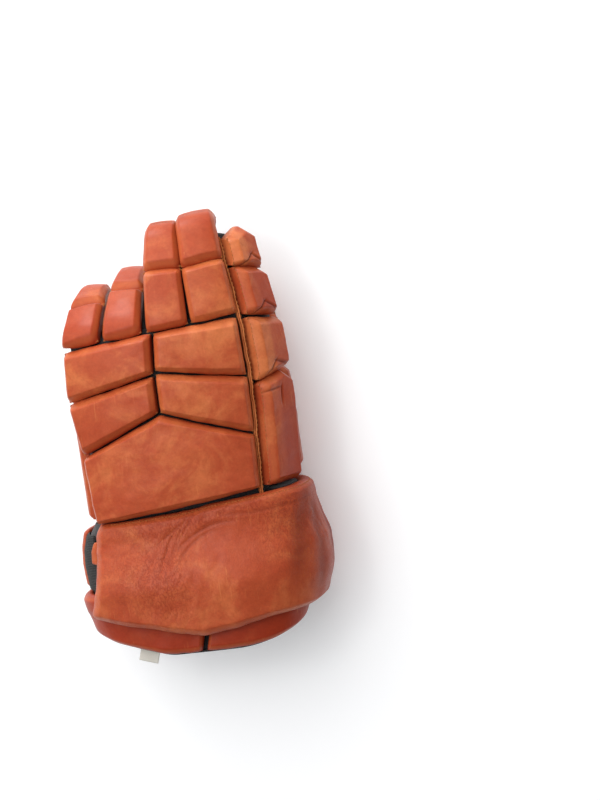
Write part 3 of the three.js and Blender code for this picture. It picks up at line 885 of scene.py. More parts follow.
class Block:
    """A stuffed leather block on a surface: a crowned top with a rounded rim, four walls, a base."""

    RIM_LINES = 9
    LARGEST_BAND = 0.32
    LEVELS = (0.72, 0.42, 0.16)

    def __init__(
        self,
        name: str,
        surface: Surface,
        outline: Outline | Band,
        form: Form,
        tone: float = 0.0,
        creases: Sequence[Crease] = (),
        seed: int = 1,
    ) -> None:
        """Measures the block.

        Args:
            name: the CAD node that it stands for.
            surface: what it is sewn to.
            outline: its four sides on that surface.
            form: its stuffing and rounding.
            tone: shade of its leather, from -1, dark and red, to 1, light and orange; it holds the leather's own shade
                together with painted light and shade set block by block.
            creases: valleys in its top.
            seed: seed of its unevenness.
        """
        self.name, self.surface, self.outline, self.form = name, surface, outline, form
        self.tone, self.creases, self.seed = tone, creases, seed
        self.wrinkles: Sequence[tuple[float, ...]] = ()
        # Painted shade across the top: from the first share across to the second, the leather is made darker by the
        # third number.
        self.fade: tuple[float, float, float] = (0.0, 1.0, 0.0)
        line = np.linspace(0, 1, 33)
        middle = self.on_surface(line, 0 * line + 0.5)[0]
        spine = self.on_surface(0 * line + 0.5, line)[0]
        self.width = float(np.linalg.norm(np.diff(middle, axis=0), axis=1).sum())
        self.length = float(np.linalg.norm(np.diff(spine, axis=0), axis=1).sum())

    def on_surface(self, s: Array, t: Array) -> Pair:
        """Points and normals of the carrying surface at shares across and along the outline."""
        return self.surface.at(*self.outline.place(s, t))

    def band(self, size: float) -> float:
        """Width of the rounded rim on a side of that size."""
        return min(self.form.band, self.LARGEST_BAND * size)

    def lines(self, size: float) -> Array:
        """Shares of the grid's lines: close together in the rim, then even.

        Args:
            size: width or length of the block.

        Returns:
            Shares from 0 to 1.
        """
        band = self.band(size)
        rim = band * (1 - np.cos(np.linspace(0, math.pi, self.RIM_LINES))) / 2
        count = max(2, round((size - 2 * band) / self.form.step))
        inner = np.linspace(band, size - band, count + 1)[1:-1]
        return np.concatenate([rim, inner, size - rim[::-1]]) / size

    def rim(self, s: Array, t: Array) -> Array:
        """How far into the rim a place is, with rounded corners.

        Args:
            s: share across.
            t: share along.

        Returns:
            0 on the top, 1 at the edge.
        """
        parts = []
        for share, size in ((s, self.width), (t, self.length)):
            inside = np.minimum(share, 1 - share) * size / self.band(size)
            parts.append(np.clip(1 - inside, 0, 1) ** 3)
        return np.minimum((parts[0] + parts[1]) ** (1 / 3), 1)

    def height(self, s: Array, t: Array) -> Array:
        """Height of the top: thickness, less a rim that mixes a slanted facet (a softened corner)
        and a round edge, plus a crown of two parabolas, soft dents and the creases.

        Args:
            s: share across.
            t: share along.

        Returns:
            Heights above the surface.
        """
        form, rim = self.form, self.rim(s, t)
        start, softness = 0.1, 0.07
        fold = lambda u: np.sqrt((u - start) ** 2 + softness**2) + u - start
        slanted = (fold(rim) - fold(0.0)) / (fold(1.0) - fold(0.0))
        rounded = 1 - np.sqrt(np.maximum(0, 1 - rim**2))
        drop = form.bevel * slanted + (1 - form.bevel) * rounded
        crown = (1 - (2 * s - 1) ** 2) * (1 - (2 * t - 1) ** 2)
        flat = stack(s * self.width, t * self.length, 0 * s)
        dent = unevenness(flat, 26, self.seed) + 0.35 * unevenness(flat, 9, self.seed + 50)
        soft = form.dent * dent * (1 - 0.7 * rim)
        valley = crease_depth(flat[..., 0], flat[..., 1], self.creases)
        lifted = form.thickness * (1 - (1 - form.wall) * drop)
        return form.gap + lifted + form.crown * crown + soft - valley

    def drawn_in(self, s: Array, t: Array, inset: float) -> Pair:
        """Shares after the outline is inset and its corners are rounded: near a corner each share
        shrinks towards the middle by a high power of the other. The four sides waver by sines.

        Args:
            s: share across.
            t: share along.
            inset: distance that the outline is drawn in.

        Returns:
            The two new shares.
        """
        inset = inset - self.form.grow
        x = (2 * s - 1) * (1 - 2 * inset / self.width)
        y = (2 * t - 1) * (1 - 2 * inset / self.length)
        pull = 2 * self.form.corner
        pulled_x = x * (1 - pull / self.width * np.abs(y) ** (self.length / 5))
        pulled_y = y * (1 - pull / self.length * np.abs(x) ** (self.width / 5))
        wave = lambda v, k: np.sin(v * k + self.seed) + 0.6 * np.sin(v * k * 2.3 + 2 * self.seed)
        waver = 2 * self.form.wobble
        side_x = np.abs(x) ** 4 * np.abs(1 - y**8)
        side_y = np.abs(y) ** 4 * np.abs(1 - x**8)
        pulled_x += waver / self.width * side_x * wave(t, self.length / 6)
        pulled_y += waver / self.length * side_y * wave(s, self.width / 6)
        return (pulled_x + 1) / 2, (pulled_y + 1) / 2

    def raised(self, s: Array, t: Array, height: Array, inset: float = 0.0) -> Array:
        """Points above the surface along its normal, not lower than the floor where there is one.

        Args:
            s: share across.
            t: share along.
            height: how far above the surface.
            inset: distance that the outline is drawn in.

        Returns:
            Points.
        """
        point, normal = self.on_surface(*self.drawn_in(s, t, inset))
        points = point + normal * np.asarray(height)[..., None]
        if self.form.floor is not None:
            points[..., 2] = np.maximum(points[..., 2], self.form.floor)
        return points

    def top(self, s: Array, t: Array, above: float = 0.0) -> Pair:
        """Points and normals of the finished top.

        Args:
            s: shares across.
            t: shares along.
            above: distance above the leather.

        Returns:
            Points and unit normals.
        """
        step = 0.01
        points = self.raised(s, t, self.height(s, t) + above)
        place = lambda a, b: self.raised(a, b, self.height(a, b))
        ds = place(s + step, t) - place(s - step, t)
        dt = place(s, t + step) - place(s, t - step)
        normal = unit(np.cross(ds, dt))
        outward = self.on_surface(s, t)[1]
        flip = np.sign((normal * outward).sum(-1, keepdims=True))
        return points, normal * flip

    def skin(self) -> Skin:
        """The closed mesh: top grid, rings of wall from its border down, and a base grid.

        Returns:
            The skin.
        """
        s, t = np.meshgrid(self.lines(self.width), self.lines(self.length))
        rows, columns = s.shape
        form = self.form
        high = self.height(s, t)
        rim = self.rim(s, t)
        valley = crease_depth(s * self.width, t * self.length, self.creases)
        loop = border(rows, columns)
        points = [self.raised(s, t, high).reshape(-1, 3)]
        rims, valleys = [rim.ravel()], [valley.ravel()]
        edge_s, edge_t, edge_high = (value.ravel()[loop] for value in (s, t, high))
        for level in self.LEVELS:
            inset = form.tuck * (1 - level) ** 2 - 4 * form.bulge * level * (1 - level)
            height = form.gap + (edge_high - form.gap) * level
            points.append(self.raised(edge_s, edge_t, height, inset))
            rims.append(np.full(len(loop), 2 - level))
            valleys.append(np.zeros(len(loop)))
        points.append(self.raised(s, t, np.full(s.shape, form.gap), form.tuck).reshape(-1, 3))
        rims.append(np.full(s.size, 2.0))
        valleys.append(np.zeros(s.size))
        quads = [grid_quads(rows, columns)]
        start = rows * columns
        ring, size = loop, len(loop)
        for k in range(len(self.LEVELS) + 1):
            last = k == len(self.LEVELS)
            following = start + k * size + (loop if last else np.arange(size))
            corners = [ring, following, np.roll(following, -1), np.roll(ring, -1)]
            quads.append(np.stack(corners, axis=-1))
            ring = following
        quads.append(grid_quads(rows, columns)[:, ::-1] + start + len(self.LEVELS) * size)
        every = np.concatenate(points)
        # rim and crease steer the leather's painted shade on the walls and in the folds, and its lighter bevel.
        marks = {
            "rim": np.concatenate(rims),
            "crease": np.clip(np.concatenate(valleys) / 1.5, 0, 1),
            "tone": np.full(len(every), self.tone),
        }
        # Painted shade: the part of the top turned away from the light is darkened.
        first, last, change = self.fade
        marks["tone"][: s.size] += change * smooth((s.ravel() - first) / (last - first))
        if self.wrinkles:
            spots = (((s - x) / w) ** 2 + ((t - y) / h) ** 2 for x, y, w, h in self.wrinkles)
            top = sum(np.exp(-spot) for spot in spots)
            spread = np.zeros(len(every))
            spread[: top.size] = np.clip(top.ravel(), 0, 1)
            marks["wrinkle"] = spread
        return Skin(every, np.concatenate(quads), marks).facing()


class Tube:
    """Round and flat strips that are swept along a path."""

    @staticmethod
    def frames(path: Array, up: Array) -> tuple[Array, Array, Array]:
        """Tangent, side and up at each point of a path.

        Args:
            path: points in order.
            up: a rough upward direction at each point.

        Returns:
            Three arrays of unit vectors.
        """
        tangent = unit(np.gradient(path, axis=0))
        side = unit(np.cross(tangent, np.broadcast_to(up, path.shape)))
        return tangent, side, unit(np.cross(side, tangent))

    @staticmethod
    def swept(path: Array, up: Array, half_width: Array, half_height: Array, power: float = 2.6) -> Skin:
        """A closed strip: a superellipse carried along a path, shrunk to a point at both ends.

        Args:
            path: points in order.
            up: direction of the strip's height at each point.
            half_width: half of its width, one number or one for each point.
            half_height: half of its height.
            power: 2 is round, more is squarer.

        Returns:
            The skin; weld it to close its ends.
        """
        _, side, above = Tube.frames(path, up)
        sides = 12
        angle = np.arange(sides) * 2 * math.pi / sides
        a, h = superellipse(angle, 1.0, 1.0, power)
        ends = np.ones(len(path))
        ends[[0, -1]] = 0.0
        width = (np.broadcast_to(half_width, len(path)) * ends)[:, None, None]
        height = (np.broadcast_to(half_height, len(path)) * ends)[:, None, None]
        points = path[:, None] + side[:, None] * a[:, None] * width
        points = points + above[:, None] * h[:, None] * height
        quads = grid_quads(len(path), sides, closed=True)
        share = np.repeat(np.linspace(0, 1, len(path)), sides)
        return Skin(points.reshape(-1, 3), quads, {"run": share}).facing()


class Thread:
    """Stitches: short capsules, each laid along a seam."""

    @staticmethod
    def row(
        path: Array, up: Array, pitch: float, length: float, radius: float, slant: float = 0.0
    ) -> Skin:
        """A row of stitches along a path.

        Args:
            path: points of the seam in order.
            up: outward direction at each point.
            pitch: distance from stitch to stitch.
            length: length of a stitch.
            radius: thickness of the thread, halved.
            slant: turn of each stitch from the seam, in degrees.

        Returns:
            One skin for all of the stitches.
        """
        lengths = np.concatenate([[0.0], np.cumsum(np.linalg.norm(np.diff(path, axis=0), axis=1))])
        count = max(1, int(lengths[-1] / pitch))
        places = (np.arange(count) + 0.5) * lengths[-1] / count
        tangent, side, above = Tube.frames(path, up)
        read = lambda track: stack(*(np.interp(places, lengths, column) for column in track.T))
        middle, t, y, z = (read(track) for track in (path, tangent, side, above))
        turned = math.radians(slant)
        ahead = unit(t * math.cos(turned) + y * math.sin(turned))
        beside = unit(np.cross(z, ahead))
        stops = np.array([-0.5, -0.42, 0.0, 0.42, 0.5]) * length
        radii = np.array([0.05, 0.8, 1.0, 0.8, 0.05]) * radius
        sag = np.array([-0.5, 0.0, 0.25, 0.0, -0.5]) * radius
        angle = np.arange(6) * math.pi / 3
        ring_y = np.cos(angle)[None] * radii[:, None]
        ring_z = np.sin(angle)[None] * radii[:, None] + sag[:, None]
        points = (
            middle[:, None, None]
            + ahead[:, None, None] * stops[None, :, None, None]
            + beside[:, None, None] * ring_y[None, ..., None]
            + z[:, None, None] * ring_z[None, ..., None]
        )
        each = len(stops) * len(angle)
        one = grid_quads(len(stops), len(angle), closed=True)
        quads = (one[None] + (np.arange(count) * each)[:, None, None]).reshape(-1, 4)
        points = points.reshape(-1, 3)
        outward = unit(points - np.repeat(middle, each, axis=0)) * 4 + np.repeat(z, each, axis=0)
        return Skin(points, quads).facing(outward)


@dataclass
class Seams:
    """Stitches on blocks, gathered into one piece."""

    name: str
    skin: Optional[Skin] = None

    def add(self, block: Block, start: Pair, end: Pair, pitch: float) -> None:
        """A straight row over a block's top.

        Args:
            block: the block.
            start: shares across and along it where the row starts.
            end: shares where it ends.
            pitch: distance from stitch to stitch.
        """
        run = np.linspace(0, 1, 60)
        s, t = (a + (b - a) * run for a, b in zip(start, end))
        self.join(Thread.row(*block.top(s, t, 0.12), pitch, pitch * 0.66, 0.3))

    def knots(self, block: Block) -> None:
        """A small cross of two stitches at each of a block's top corners.

        Args:
            block: the block.
        """
        for s in (0.012, 0.988):
            for t in (0.012, 0.988):
                for slant in (40.0, -40.0):
                    run = np.linspace(-0.5, 0.5, 3)
                    inward = 1.2 if s < 0.5 else -1.2
                    point, normal = block.top(s + run * inward / block.width, t + 0 * run, 0.1)
                    self.join(Thread.row(point, normal, 9.0, 1.9, 0.28, slant))

    def join(self, skin: Skin) -> None:
        """Adds a skin to the piece."""
        self.skin = skin if self.skin is None else self.skin.plus(skin)

    def finish(self) -> None:
        """Makes the object."""
        keep(self.skin.to_object(self.name), Finishes.THREAD)


class Graph:
    """A short way to write node trees."""

    def __init__(self, tree: bpy.types.NodeTree) -> None:
        """Keeps the tree that nodes go into."""
        self.tree = tree

    def node(self, kind: str, inputs: Optional[dict] = None, **settings: object) -> bpy.types.Node:
        """A node with its settings, and its inputs set or linked.

        Args:
            kind: type of the node, without its prefix.
            inputs: values or output sockets by input name or number.
            settings: properties of the node.

        Returns:
            The node.
        """
        made = self.tree.nodes.new("ShaderNode" + kind)
        for key, value in settings.items():
            setattr(made, key, value)
        self.feed(made, inputs or {})
        return made

    def feed(self, node: bpy.types.Node, inputs: dict) -> None:
        """Sets or links a node's inputs.

        Args:
            node: the node.
            inputs: values or output sockets by name or number.
        """
        for key, value in inputs.items():
            if isinstance(value, bpy.types.NodeSocket):
                self.tree.links.new(value, node.inputs[key])
            else:
                node.inputs[key].default_value = value

    def math(self, operation: str, *values: object, clamp: bool = False) -> Socket:
        """The result of a sum of values or sockets."""
        made = self.node("Math", dict(enumerate(values)), operation=operation, use_clamp=clamp)
        return made.outputs[0]

    def times(self, a: object, b: object, clamp: bool = False) -> Socket:
        """a b."""
        return self.math("MULTIPLY", a, b, clamp=clamp)

    def plus(self, a: object, b: object, clamp: bool = False) -> Socket:
        """a + b."""
        return self.math("ADD", a, b, clamp=clamp)

    def ramp(self, value: Socket, low: float, high: float) -> Socket:
        """A value mapped smoothly from low..high to 0..1."""
        inputs = {"Value": value, "From Min": low, "From Max": high, "To Min": 0.0, "To Max": 1.0}
        return self.node("MapRange", inputs, interpolation_type="SMOOTHSTEP").outputs["Result"]

    def mix(self, share: object, a: object, b: object, blend: str = "MIX") -> Socket:
        """Two colours mixed by a share."""
        inputs = {0: share, 6: a, 7: b}
        return self.node("Mix", inputs, data_type="RGBA", blend_type=blend).outputs[2]

    def noise(
        self, vector: Socket, scale: float, detail: float = 2.0, rough: float = 0.5, bend: float = 0.0
    ) -> Socket:
        """A noise texture's value.

        Args:
            vector: where it is read.
            scale: waves to a metre.
            detail: number of finer layers.
            rough: strength of each finer layer.
            bend: distortion.

        Returns:
            The socket.
        """
        inputs = {"Vector": vector, "Scale": scale, "Detail": detail}
        inputs |= {"Roughness": rough, "Distortion": bend}
        return self.node("TexNoise", inputs).outputs["Fac"]

    def bump(self, strength: float, distance: float, height: Socket) -> Socket:
        """A normal that is tilted by a height."""
        inputs = {"Strength": strength, "Distance": distance, "Height": height}
        return self.node("Bump", inputs).outputs[0]


def opaque(colour: Colour) -> tuple[float, float, float, float]:
    """A colour with full alpha."""
    return (*colour, 1.0)


def shared_group(
    name: str,
    inputs: dict[str, object],
    outputs: dict[str, str],
    fill: Callable[[Graph, dict, dict], None],
) -> bpy.types.NodeTree:
    """A shader node group that several materials use, built once.

    Args:
        name: name of the group.
        inputs: each input's default: a number, a colour of four numbers, or None for a vector.
        outputs: socket type of each output.
        fill: makes the nodes, given a graph, the input sockets, and the group output's sockets.

    Returns:
        The node group.
    """
    if name in bpy.data.node_groups:
        return bpy.data.node_groups[name]
    tree = bpy.data.node_groups.new(name, "ShaderNodeTree")
    for key, value in inputs.items():
        kind = {type(None): "Vector", float: "Float"}.get(type(value), "Color")
        socket = tree.interface.new_socket(key, in_out="INPUT", socket_type="NodeSocket" + kind)
        if value is not None:
            socket.default_value = value
    for key, kind in outputs.items():
        tree.interface.new_socket(key, in_out="OUTPUT", socket_type=kind)
    start, end = tree.nodes.new("NodeGroupInput"), tree.nodes.new("NodeGroupOutput")
    fill(Graph(tree), start.outputs, end.inputs)
    return tree


def fill_leather(graph: Graph, given: dict, out: dict) -> None:
    """Leather: large and small blotches, streaks, pebbled grain with fine creases whose lines are darkened as painted
    shade, painted shade on the walls and in the folds, and a bevel made lighter by rubbed wear and a painted
    highlight.

    Args:
        graph: the group's tree.
        given: the group's inputs.
        out: the group's outputs.
    """
    place = given["Vector"]
    link = graph.tree.links.new
    large = graph.ramp(graph.noise(place, 30.0, 5.0, 0.6, 0.7), 0.33, 0.7)
    small = graph.ramp(graph.noise(place, 85.0, 4.0, 0.6, 0.6), 0.42, 0.72)
    fine = graph.noise(place, 520.0, 3.0, 0.6)
    # Per-block value from dark to light: the leather's own shade with painted light and shade in it.
    tone = graph.math("MULTIPLY_ADD", given["Tone"], 0.5, 0.5)
    shade = graph.plus(graph.times(large, 0.34), graph.times(tone, 0.8))
    shade = graph.math("SUBTRACT", shade, 0.04, clamp=True)
    colour = graph.mix(shade, given["Dark"], given["Base"])
    lit = graph.times(graph.ramp(shade, 0.55, 1.0), 0.75)
    colour = graph.mix(lit, colour, given["Bright"])
    colour = graph.mix(graph.times(small, 0.34), colour, given["Dark"])
    middle = graph.noise(place, 190.0, 5.0, 0.65, 0.5)
    speck = graph.plus(fine, graph.times(middle, 1.3))
    speck = graph.math("MULTIPLY_ADD", speck, 0.5, 0.42)
    grey = graph.node("CombineColor", {0: speck, 1: speck, 2: speck}).outputs[0]
    colour = graph.mix(0.55, colour, grey, "MULTIPLY")
    rim = given["Rim"]
    # Lighter along the bevel's ridge: rubbed wear and a painted highlight.
    rubbed = graph.times(graph.ramp(rim, 0.1, 0.45), graph.ramp(rim, 0.95, 0.55))
    rubbed = graph.times(rubbed, given["Rub_and_highlight"])
    colour = graph.mix(rubbed, colour, given["Bright"])
    # Painted shade: the walls, which go down into the grooves between blocks, and the folds are darkened towards the
    # deep colour.
    walls = graph.times(graph.ramp(rim, 1.0, 1.9), given["Wall_shade"])
    folds = graph.times(given["Crease"], 0.55)
    colour = graph.mix(graph.math("MAXIMUM", walls, folds), colour, given["Deep"])
    drawn_out = lambda turn, scale: graph.node(
        "Mapping", {"Vector": place, "Rotation": (0.0, 0.0, turn), "Scale": (1.0, scale, 1.0)}
    ).outputs[0]
    streak = graph.ramp(graph.noise(drawn_out(0.7, 0.07), 620.0, 3.0, 0.6, 0.3), 0.56, 0.74)
    patch = graph.ramp(graph.noise(place, 38.0, 2.0), 0.5, 0.62)
    streak = graph.times(graph.times(streak, patch), 0.4)
    colour = graph.mix(streak, colour, given["Bright"])
    crinkle = graph.noise(drawn_out(0.5, 0.55), 440.0, 4.0, 0.6, 0.25)
    ridge = graph.math("ABSOLUTE", graph.math("SUBTRACT", crinkle, 0.5))
    # Painted shade in the fine wrinkles: their valley lines are darkened towards the dark colour.
    lines = graph.times(graph.ramp(ridge, 0.05, 0.0), graph.times(given["Crinkle"], 0.5), True)
    colour = graph.mix(lines, colour, given["Dark"])
    link(colour, out["Color"])
    gloss = graph.math("MULTIPLY_ADD", small, 0.14, 0.36)
    dull = graph.plus(gloss, graph.times(graph.ramp(rim, 0.9, 1.6), 0.15), True)
    link(dull, out["Roughness"])
    cells = {"Vector": place, "Scale": 760.0, "Randomness": 1.0}
    cell = graph.node("TexVoronoi", cells, feature="DISTANCE_TO_EDGE")
    pebble = graph.ramp(cell.outputs["Distance"], 0.0, 0.16)
    wrinkled = graph.times(graph.ramp(ridge, 0.0, 0.06), given["Crinkle"])
    height = graph.plus(graph.times(pebble, 0.16), wrinkled)
    height = graph.plus(height, graph.times(graph.noise(place, 60.0, 3.0), 0.5))
    link(height, out["Height"])


def leather_group() -> bpy.types.NodeTree:
    """The shared leather effect.

    Returns:
        The node group.
    """
    inputs = {
        "Vector": None,
        "Base": (0.5, 0.2, 0.1, 1.0),
        "Bright": (0.6, 0.3, 0.1, 1.0),
        "Dark": (0.3, 0.1, 0.05, 1.0),
        # Colour of the painted shade on the walls and in the folds.
        "Deep": (0.1, 0.03, 0.02, 1.0),
        "Rim": 0.0,
        # Per-block value from dark to light, with painted light and shade in it.
        "Tone": 0.0,
        "Crease": 0.0,
        # How much the bevel's ridge is lightened, by rubbed wear and a painted highlight.
        "Rub_and_highlight": 0.5,
        # How dark the painted shade on the walls is.
        "Wall_shade": 0.6,
        "Crinkle": 0.2,
    }
    outputs = {"Color": "NodeSocketColor", "Roughness": "NodeSocketFloat", "Height": "NodeSocketFloat"}
    return shared_group("glove_leather", inputs, outputs, fill_leather)


def fill_weave(graph: Graph, given: dict, out: dict) -> None:
    """Cloth: two crossed sets of threads as a checker of sines, with fluff and faded patches.

    Args:
        graph: the group's tree.
        given: the group's inputs.
        out: the group's outputs.
    """
    axis = graph.node("SeparateXYZ", {0: given["Vector"]}).outputs
    turns = graph.times(given["Threads"], 2 * math.pi)
    wave = lambda part: graph.math("SINE", graph.times(part, turns))
    warp = wave(graph.plus(axis[0], graph.times(axis[2], 0.7)))
    weft = wave(graph.plus(axis[1], graph.times(axis[2], 0.7)))
    check = graph.times(warp, weft)
    fluff = graph.noise(given["Vector"], 900.0, 3.0, 0.6)
    patch = graph.ramp(graph.noise(given["Vector"], 60.0, 4.0), 0.4, 0.7)
    share = graph.math("MULTIPLY_ADD", check, 0.16, 0.3)
    share = graph.plus(share, graph.times(patch, 0.3), True)
    share = graph.times(share, graph.plus(fluff, 0.5), True)
    link = graph.tree.links.new
    link(graph.mix(share, given["Dark"], given["Light"]), out["Color"])
    link(graph.plus(graph.times(check, 0.5), fluff), out["Height"])


def weave_group() -> bpy.types.NodeTree:
    """The shared cloth effect.

    Returns:
        The node group.
    """
    inputs = {
        "Vector": None,
        "Dark": (0.01, 0.01, 0.01, 1.0),
        "Light": (0.05, 0.05, 0.05, 1.0),
        "Threads": 900.0,
    }
    outputs = {"Color": "NodeSocketColor", "Height": "NodeSocketFloat"}
    return shared_group("glove_weave", inputs, outputs, fill_weave)


class Finish(Protocol):
    """A finish that can make its Blender material."""

    name: str

    def material(self) -> bpy.types.Material:
        """The material."""


def new_material(name: str) -> tuple[bpy.types.Material, Graph, Shader]:
    """An empty material.

    Args:
        name: name of the material.

    Returns:
        The material, its graph and its Principled shader.
    """
    made = bpy.data.materials.new(name)
    made.use_nodes = True
    made.node_tree.nodes.clear()
    graph = Graph(made.node_tree)
    shader = graph.node("BsdfPrincipled")
    graph.node("OutputMaterial", {"Surface": shader.outputs[0]})
    return made, graph, shader


def object_place(graph: Graph) -> Socket:
    """The Object coordinates."""
    return graph.node("TexCoord").outputs["Object"]


def mark(graph: Graph, name: str) -> Socket:
    """A value that is kept on a mesh's points."""
    return graph.node("Attribute", attribute_name=name).outputs["Fac"]


@dataclass(frozen=True)
class Leather:
    """Oiled glove leather with a satin surface."""

    name: str = "burnt_orange_leather"
    base: Colour = (0.46, 0.092, 0.030)
    bright: Colour = (0.58, 0.168, 0.052)
    dark: Colour = (0.31, 0.031, 0.008)
    # Colour of the painted shade on the walls and in the folds.
    deep: Colour = (0.09, 0.011, 0.004)
    # How much the bevel's ridge is lightened, by rubbed wear and a painted highlight.
    rub_and_highlight: float = 0.22
    # How dark the painted shade on the walls is.
    wall_shade: float = 0.4
    crinkle: float = 0.16
    relief: float = 0.30
    wrinkled: bool = False

    def material(self) -> bpy.types.Material:
        """The leather group on a Principled shader with a thin coat and bump from its height.

        Returns:
            The material.
        """
        made, graph, shader = new_material(self.name)
        group = graph.node("Group", node_tree=leather_group())
        given = {"Vector": object_place(graph)}
        given |= {key: opaque(getattr(self, key.lower())) for key in ("Base", "Bright", "Dark", "Deep")}
        given |= {key: getattr(self, key.lower()) for key in ("Rub_and_highlight", "Wall_shade", "Crinkle")}
        given |= {key: mark(graph, key.lower()) for key in ("Rim", "Tone", "Crease")}
        graph.feed(group, given)
        if self.wrinkled:
            wrinkles = graph.math("MULTIPLY_ADD", mark(graph, "wrinkle"), 1.4, self.crinkle)
            graph.feed(group, {"Crinkle": wrinkles})
        surface = {
            "Base Color": group.outputs["Color"],
            "Roughness": group.outputs["Roughness"],
            "Normal": graph.bump(self.relief, 0.0006, group.outputs["Height"]),
            "Specular IOR Level": 0.09,
            "Coat Weight": 0.2,
            "Coat Roughness": 0.32,
        }
        graph.feed(shader, surface)
        return made


@dataclass(frozen=True)
class Cloth:
    """Woven or knitted cloth."""

    name: str
    dark: Colour
    light: Colour
    threads: float = 900.0
    relief: float = 0.5

    def material(self) -> bpy.types.Material:
        """The weave group on a Principled shader with a little sheen.

        Returns:
            The material.
        """
        made, graph, shader = new_material(self.name)
        group = graph.node("Group", node_tree=weave_group())
        given = {"Vector": object_place(graph), "Threads": self.threads}
        given |= {"Dark": opaque(self.dark), "Light": opaque(self.light)}
        graph.feed(group, given)
        surface = {
            "Base Color": group.outputs["Color"],
            "Normal": graph.bump(self.relief, 0.0004, group.outputs["Height"]),
            "Roughness": 0.9,
            "Sheen Weight": 0.15,
            "Sheen Roughness": 0.5,
        }
        graph.feed(shader, surface)
        return made


@dataclass(frozen=True)
class Perforated:
    """The palm panel: black cloth with a lattice of small pale holes."""

    name: str = "perforated_black_cloth"
    pitch: float = 3.4
    hole: float = 0.62

    def material(self) -> bpy.types.Material:
        """Two turned coordinates are folded into cells; a place near a cell's middle is a hole.

        Returns:
            The material.
        """
        made, graph, shader = new_material(self.name)
        axis = graph.node("SeparateXYZ", {0: object_place(graph)}).outputs
        cells = []
        for sign in (1.0, -1.0):
            turned = graph.math("MULTIPLY_ADD", axis[1], sign, axis[0])
            scaled = graph.times(turned, 1000 / (self.pitch * math.sqrt(2)))
            cells.append(graph.math("SUBTRACT", graph.math("FRACT", scaled), 0.5))
        squares = [graph.times(cell, cell) for cell in cells]
        far = graph.math("SQRT", graph.plus(*squares))
        reach = self.hole / self.pitch
        hole = graph.ramp(far, reach + 0.05, reach - 0.05)
        fluff = graph.noise(object_place(graph), 1100.0, 3.0, 0.6)
        cloth = graph.mix(fluff, opaque((0.008, 0.008, 0.009)), opaque((0.045, 0.043, 0.043)))
        cream = graph.mix(fluff, opaque((0.36, 0.32, 0.25)), opaque((0.56, 0.51, 0.42)))
        height = graph.math("SUBTRACT", graph.times(fluff, 0.3), hole)
        surface = {
            "Base Color": graph.mix(hole, cloth, cream),
            "Normal": graph.bump(0.6, 0.0005, height),
            "Roughness": 0.85,
        }
        graph.feed(shader, surface)
        return made


@dataclass(frozen=True)
class Suede:
    """Pale brushed suede with rubbed patches."""

    name: str = "pale_grey_suede"
    light: Colour = (0.47, 0.44, 0.38)
    dark: Colour = (0.27, 0.245, 0.21)

    def material(self) -> bpy.types.Material:
        """Blotches and short nap from noise, soft sheen, and a bump of the nap.

        Returns:
            The material.
        """
        made, graph, shader = new_material(self.name)
        place = object_place(graph)
        nap = graph.noise(place, 700.0, 4.0, 0.65)
        rubbed = graph.ramp(graph.noise(place, 42.0, 4.0, 0.6, 0.5), 0.4, 0.72)
        share = graph.plus(graph.times(nap, 0.5), graph.times(rubbed, 0.5), True)
        surface = {
            "Base Color": graph.mix(share, opaque(self.light), opaque(self.dark)),
            "Normal": graph.bump(0.5, 0.0004, nap),
            "Roughness": 0.88,
            "Sheen Weight": 0.25,
            "Sheen Roughness": 0.6,
        }
        graph.feed(shader, surface)
        return made


@dataclass(frozen=True)
class Ribbed:
    """Black ribbed binding: cords that run along the piece's own y of the plan."""

    name: str = "black_ribbed_binding"
    pitch: float = 1.3
    dark: Colour = (0.008, 0.008, 0.008)
    light: Colour = (0.07, 0.065, 0.06)

    def material(self) -> bpy.types.Material:
        """Ribs are a sine of the distance along the piece, with fluff between them.

        Returns:
            The material.
        """
        made, graph, shader = new_material(self.name)
        place = object_place(graph)
        axis = graph.node("SeparateXYZ", {0: place}).outputs
        wave = graph.math("SINE", graph.times(axis[1], 2000 * math.pi / self.pitch))
        fluff = graph.noise(place, 1000.0, 3.0, 0.6)
        share = graph.math("MULTIPLY_ADD", wave, 0.3, 0.35)
        share = graph.times(share, graph.plus(fluff, 0.4), True)
        surface = {
            "Base Color": graph.mix(share, opaque(self.dark), opaque(self.light)),
            "Normal": graph.bump(0.8, 0.0006, graph.plus(wave, fluff)),
            "Roughness": 0.9,
        }
        graph.feed(shader, surface)
        return made


@dataclass(frozen=True)
class RawEdge:
    """The cut edge of leather and its thread: light tan, fibrous."""

    name: str
    light: Colour = (0.68, 0.24, 0.08)
    dark: Colour = (0.44, 0.11, 0.03)
    roughness: float = 0.8

    def material(self) -> bpy.types.Material:
        """Fibres from stretched noise, on a rough shader.

        Returns:
            The material.
        """
        made, graph, shader = new_material(self.name)
        place = object_place(graph)
        fibre = graph.noise(place, 1500.0, 4.0, 0.7)
        worn = graph.ramp(graph.noise(place, 120.0, 3.0), 0.4, 0.65)
        share = graph.plus(graph.times(fibre, 0.6), graph.times(worn, 0.4), True)
        surface = {
            "Base Color": graph.mix(share, opaque(self.light), opaque(self.dark)),
            "Normal": graph.bump(0.6, 0.0003, fibre),
            "Roughness": self.roughness,
            "Specular IOR Level": 0.1,
        }
        graph.feed(shader, surface)
        return made


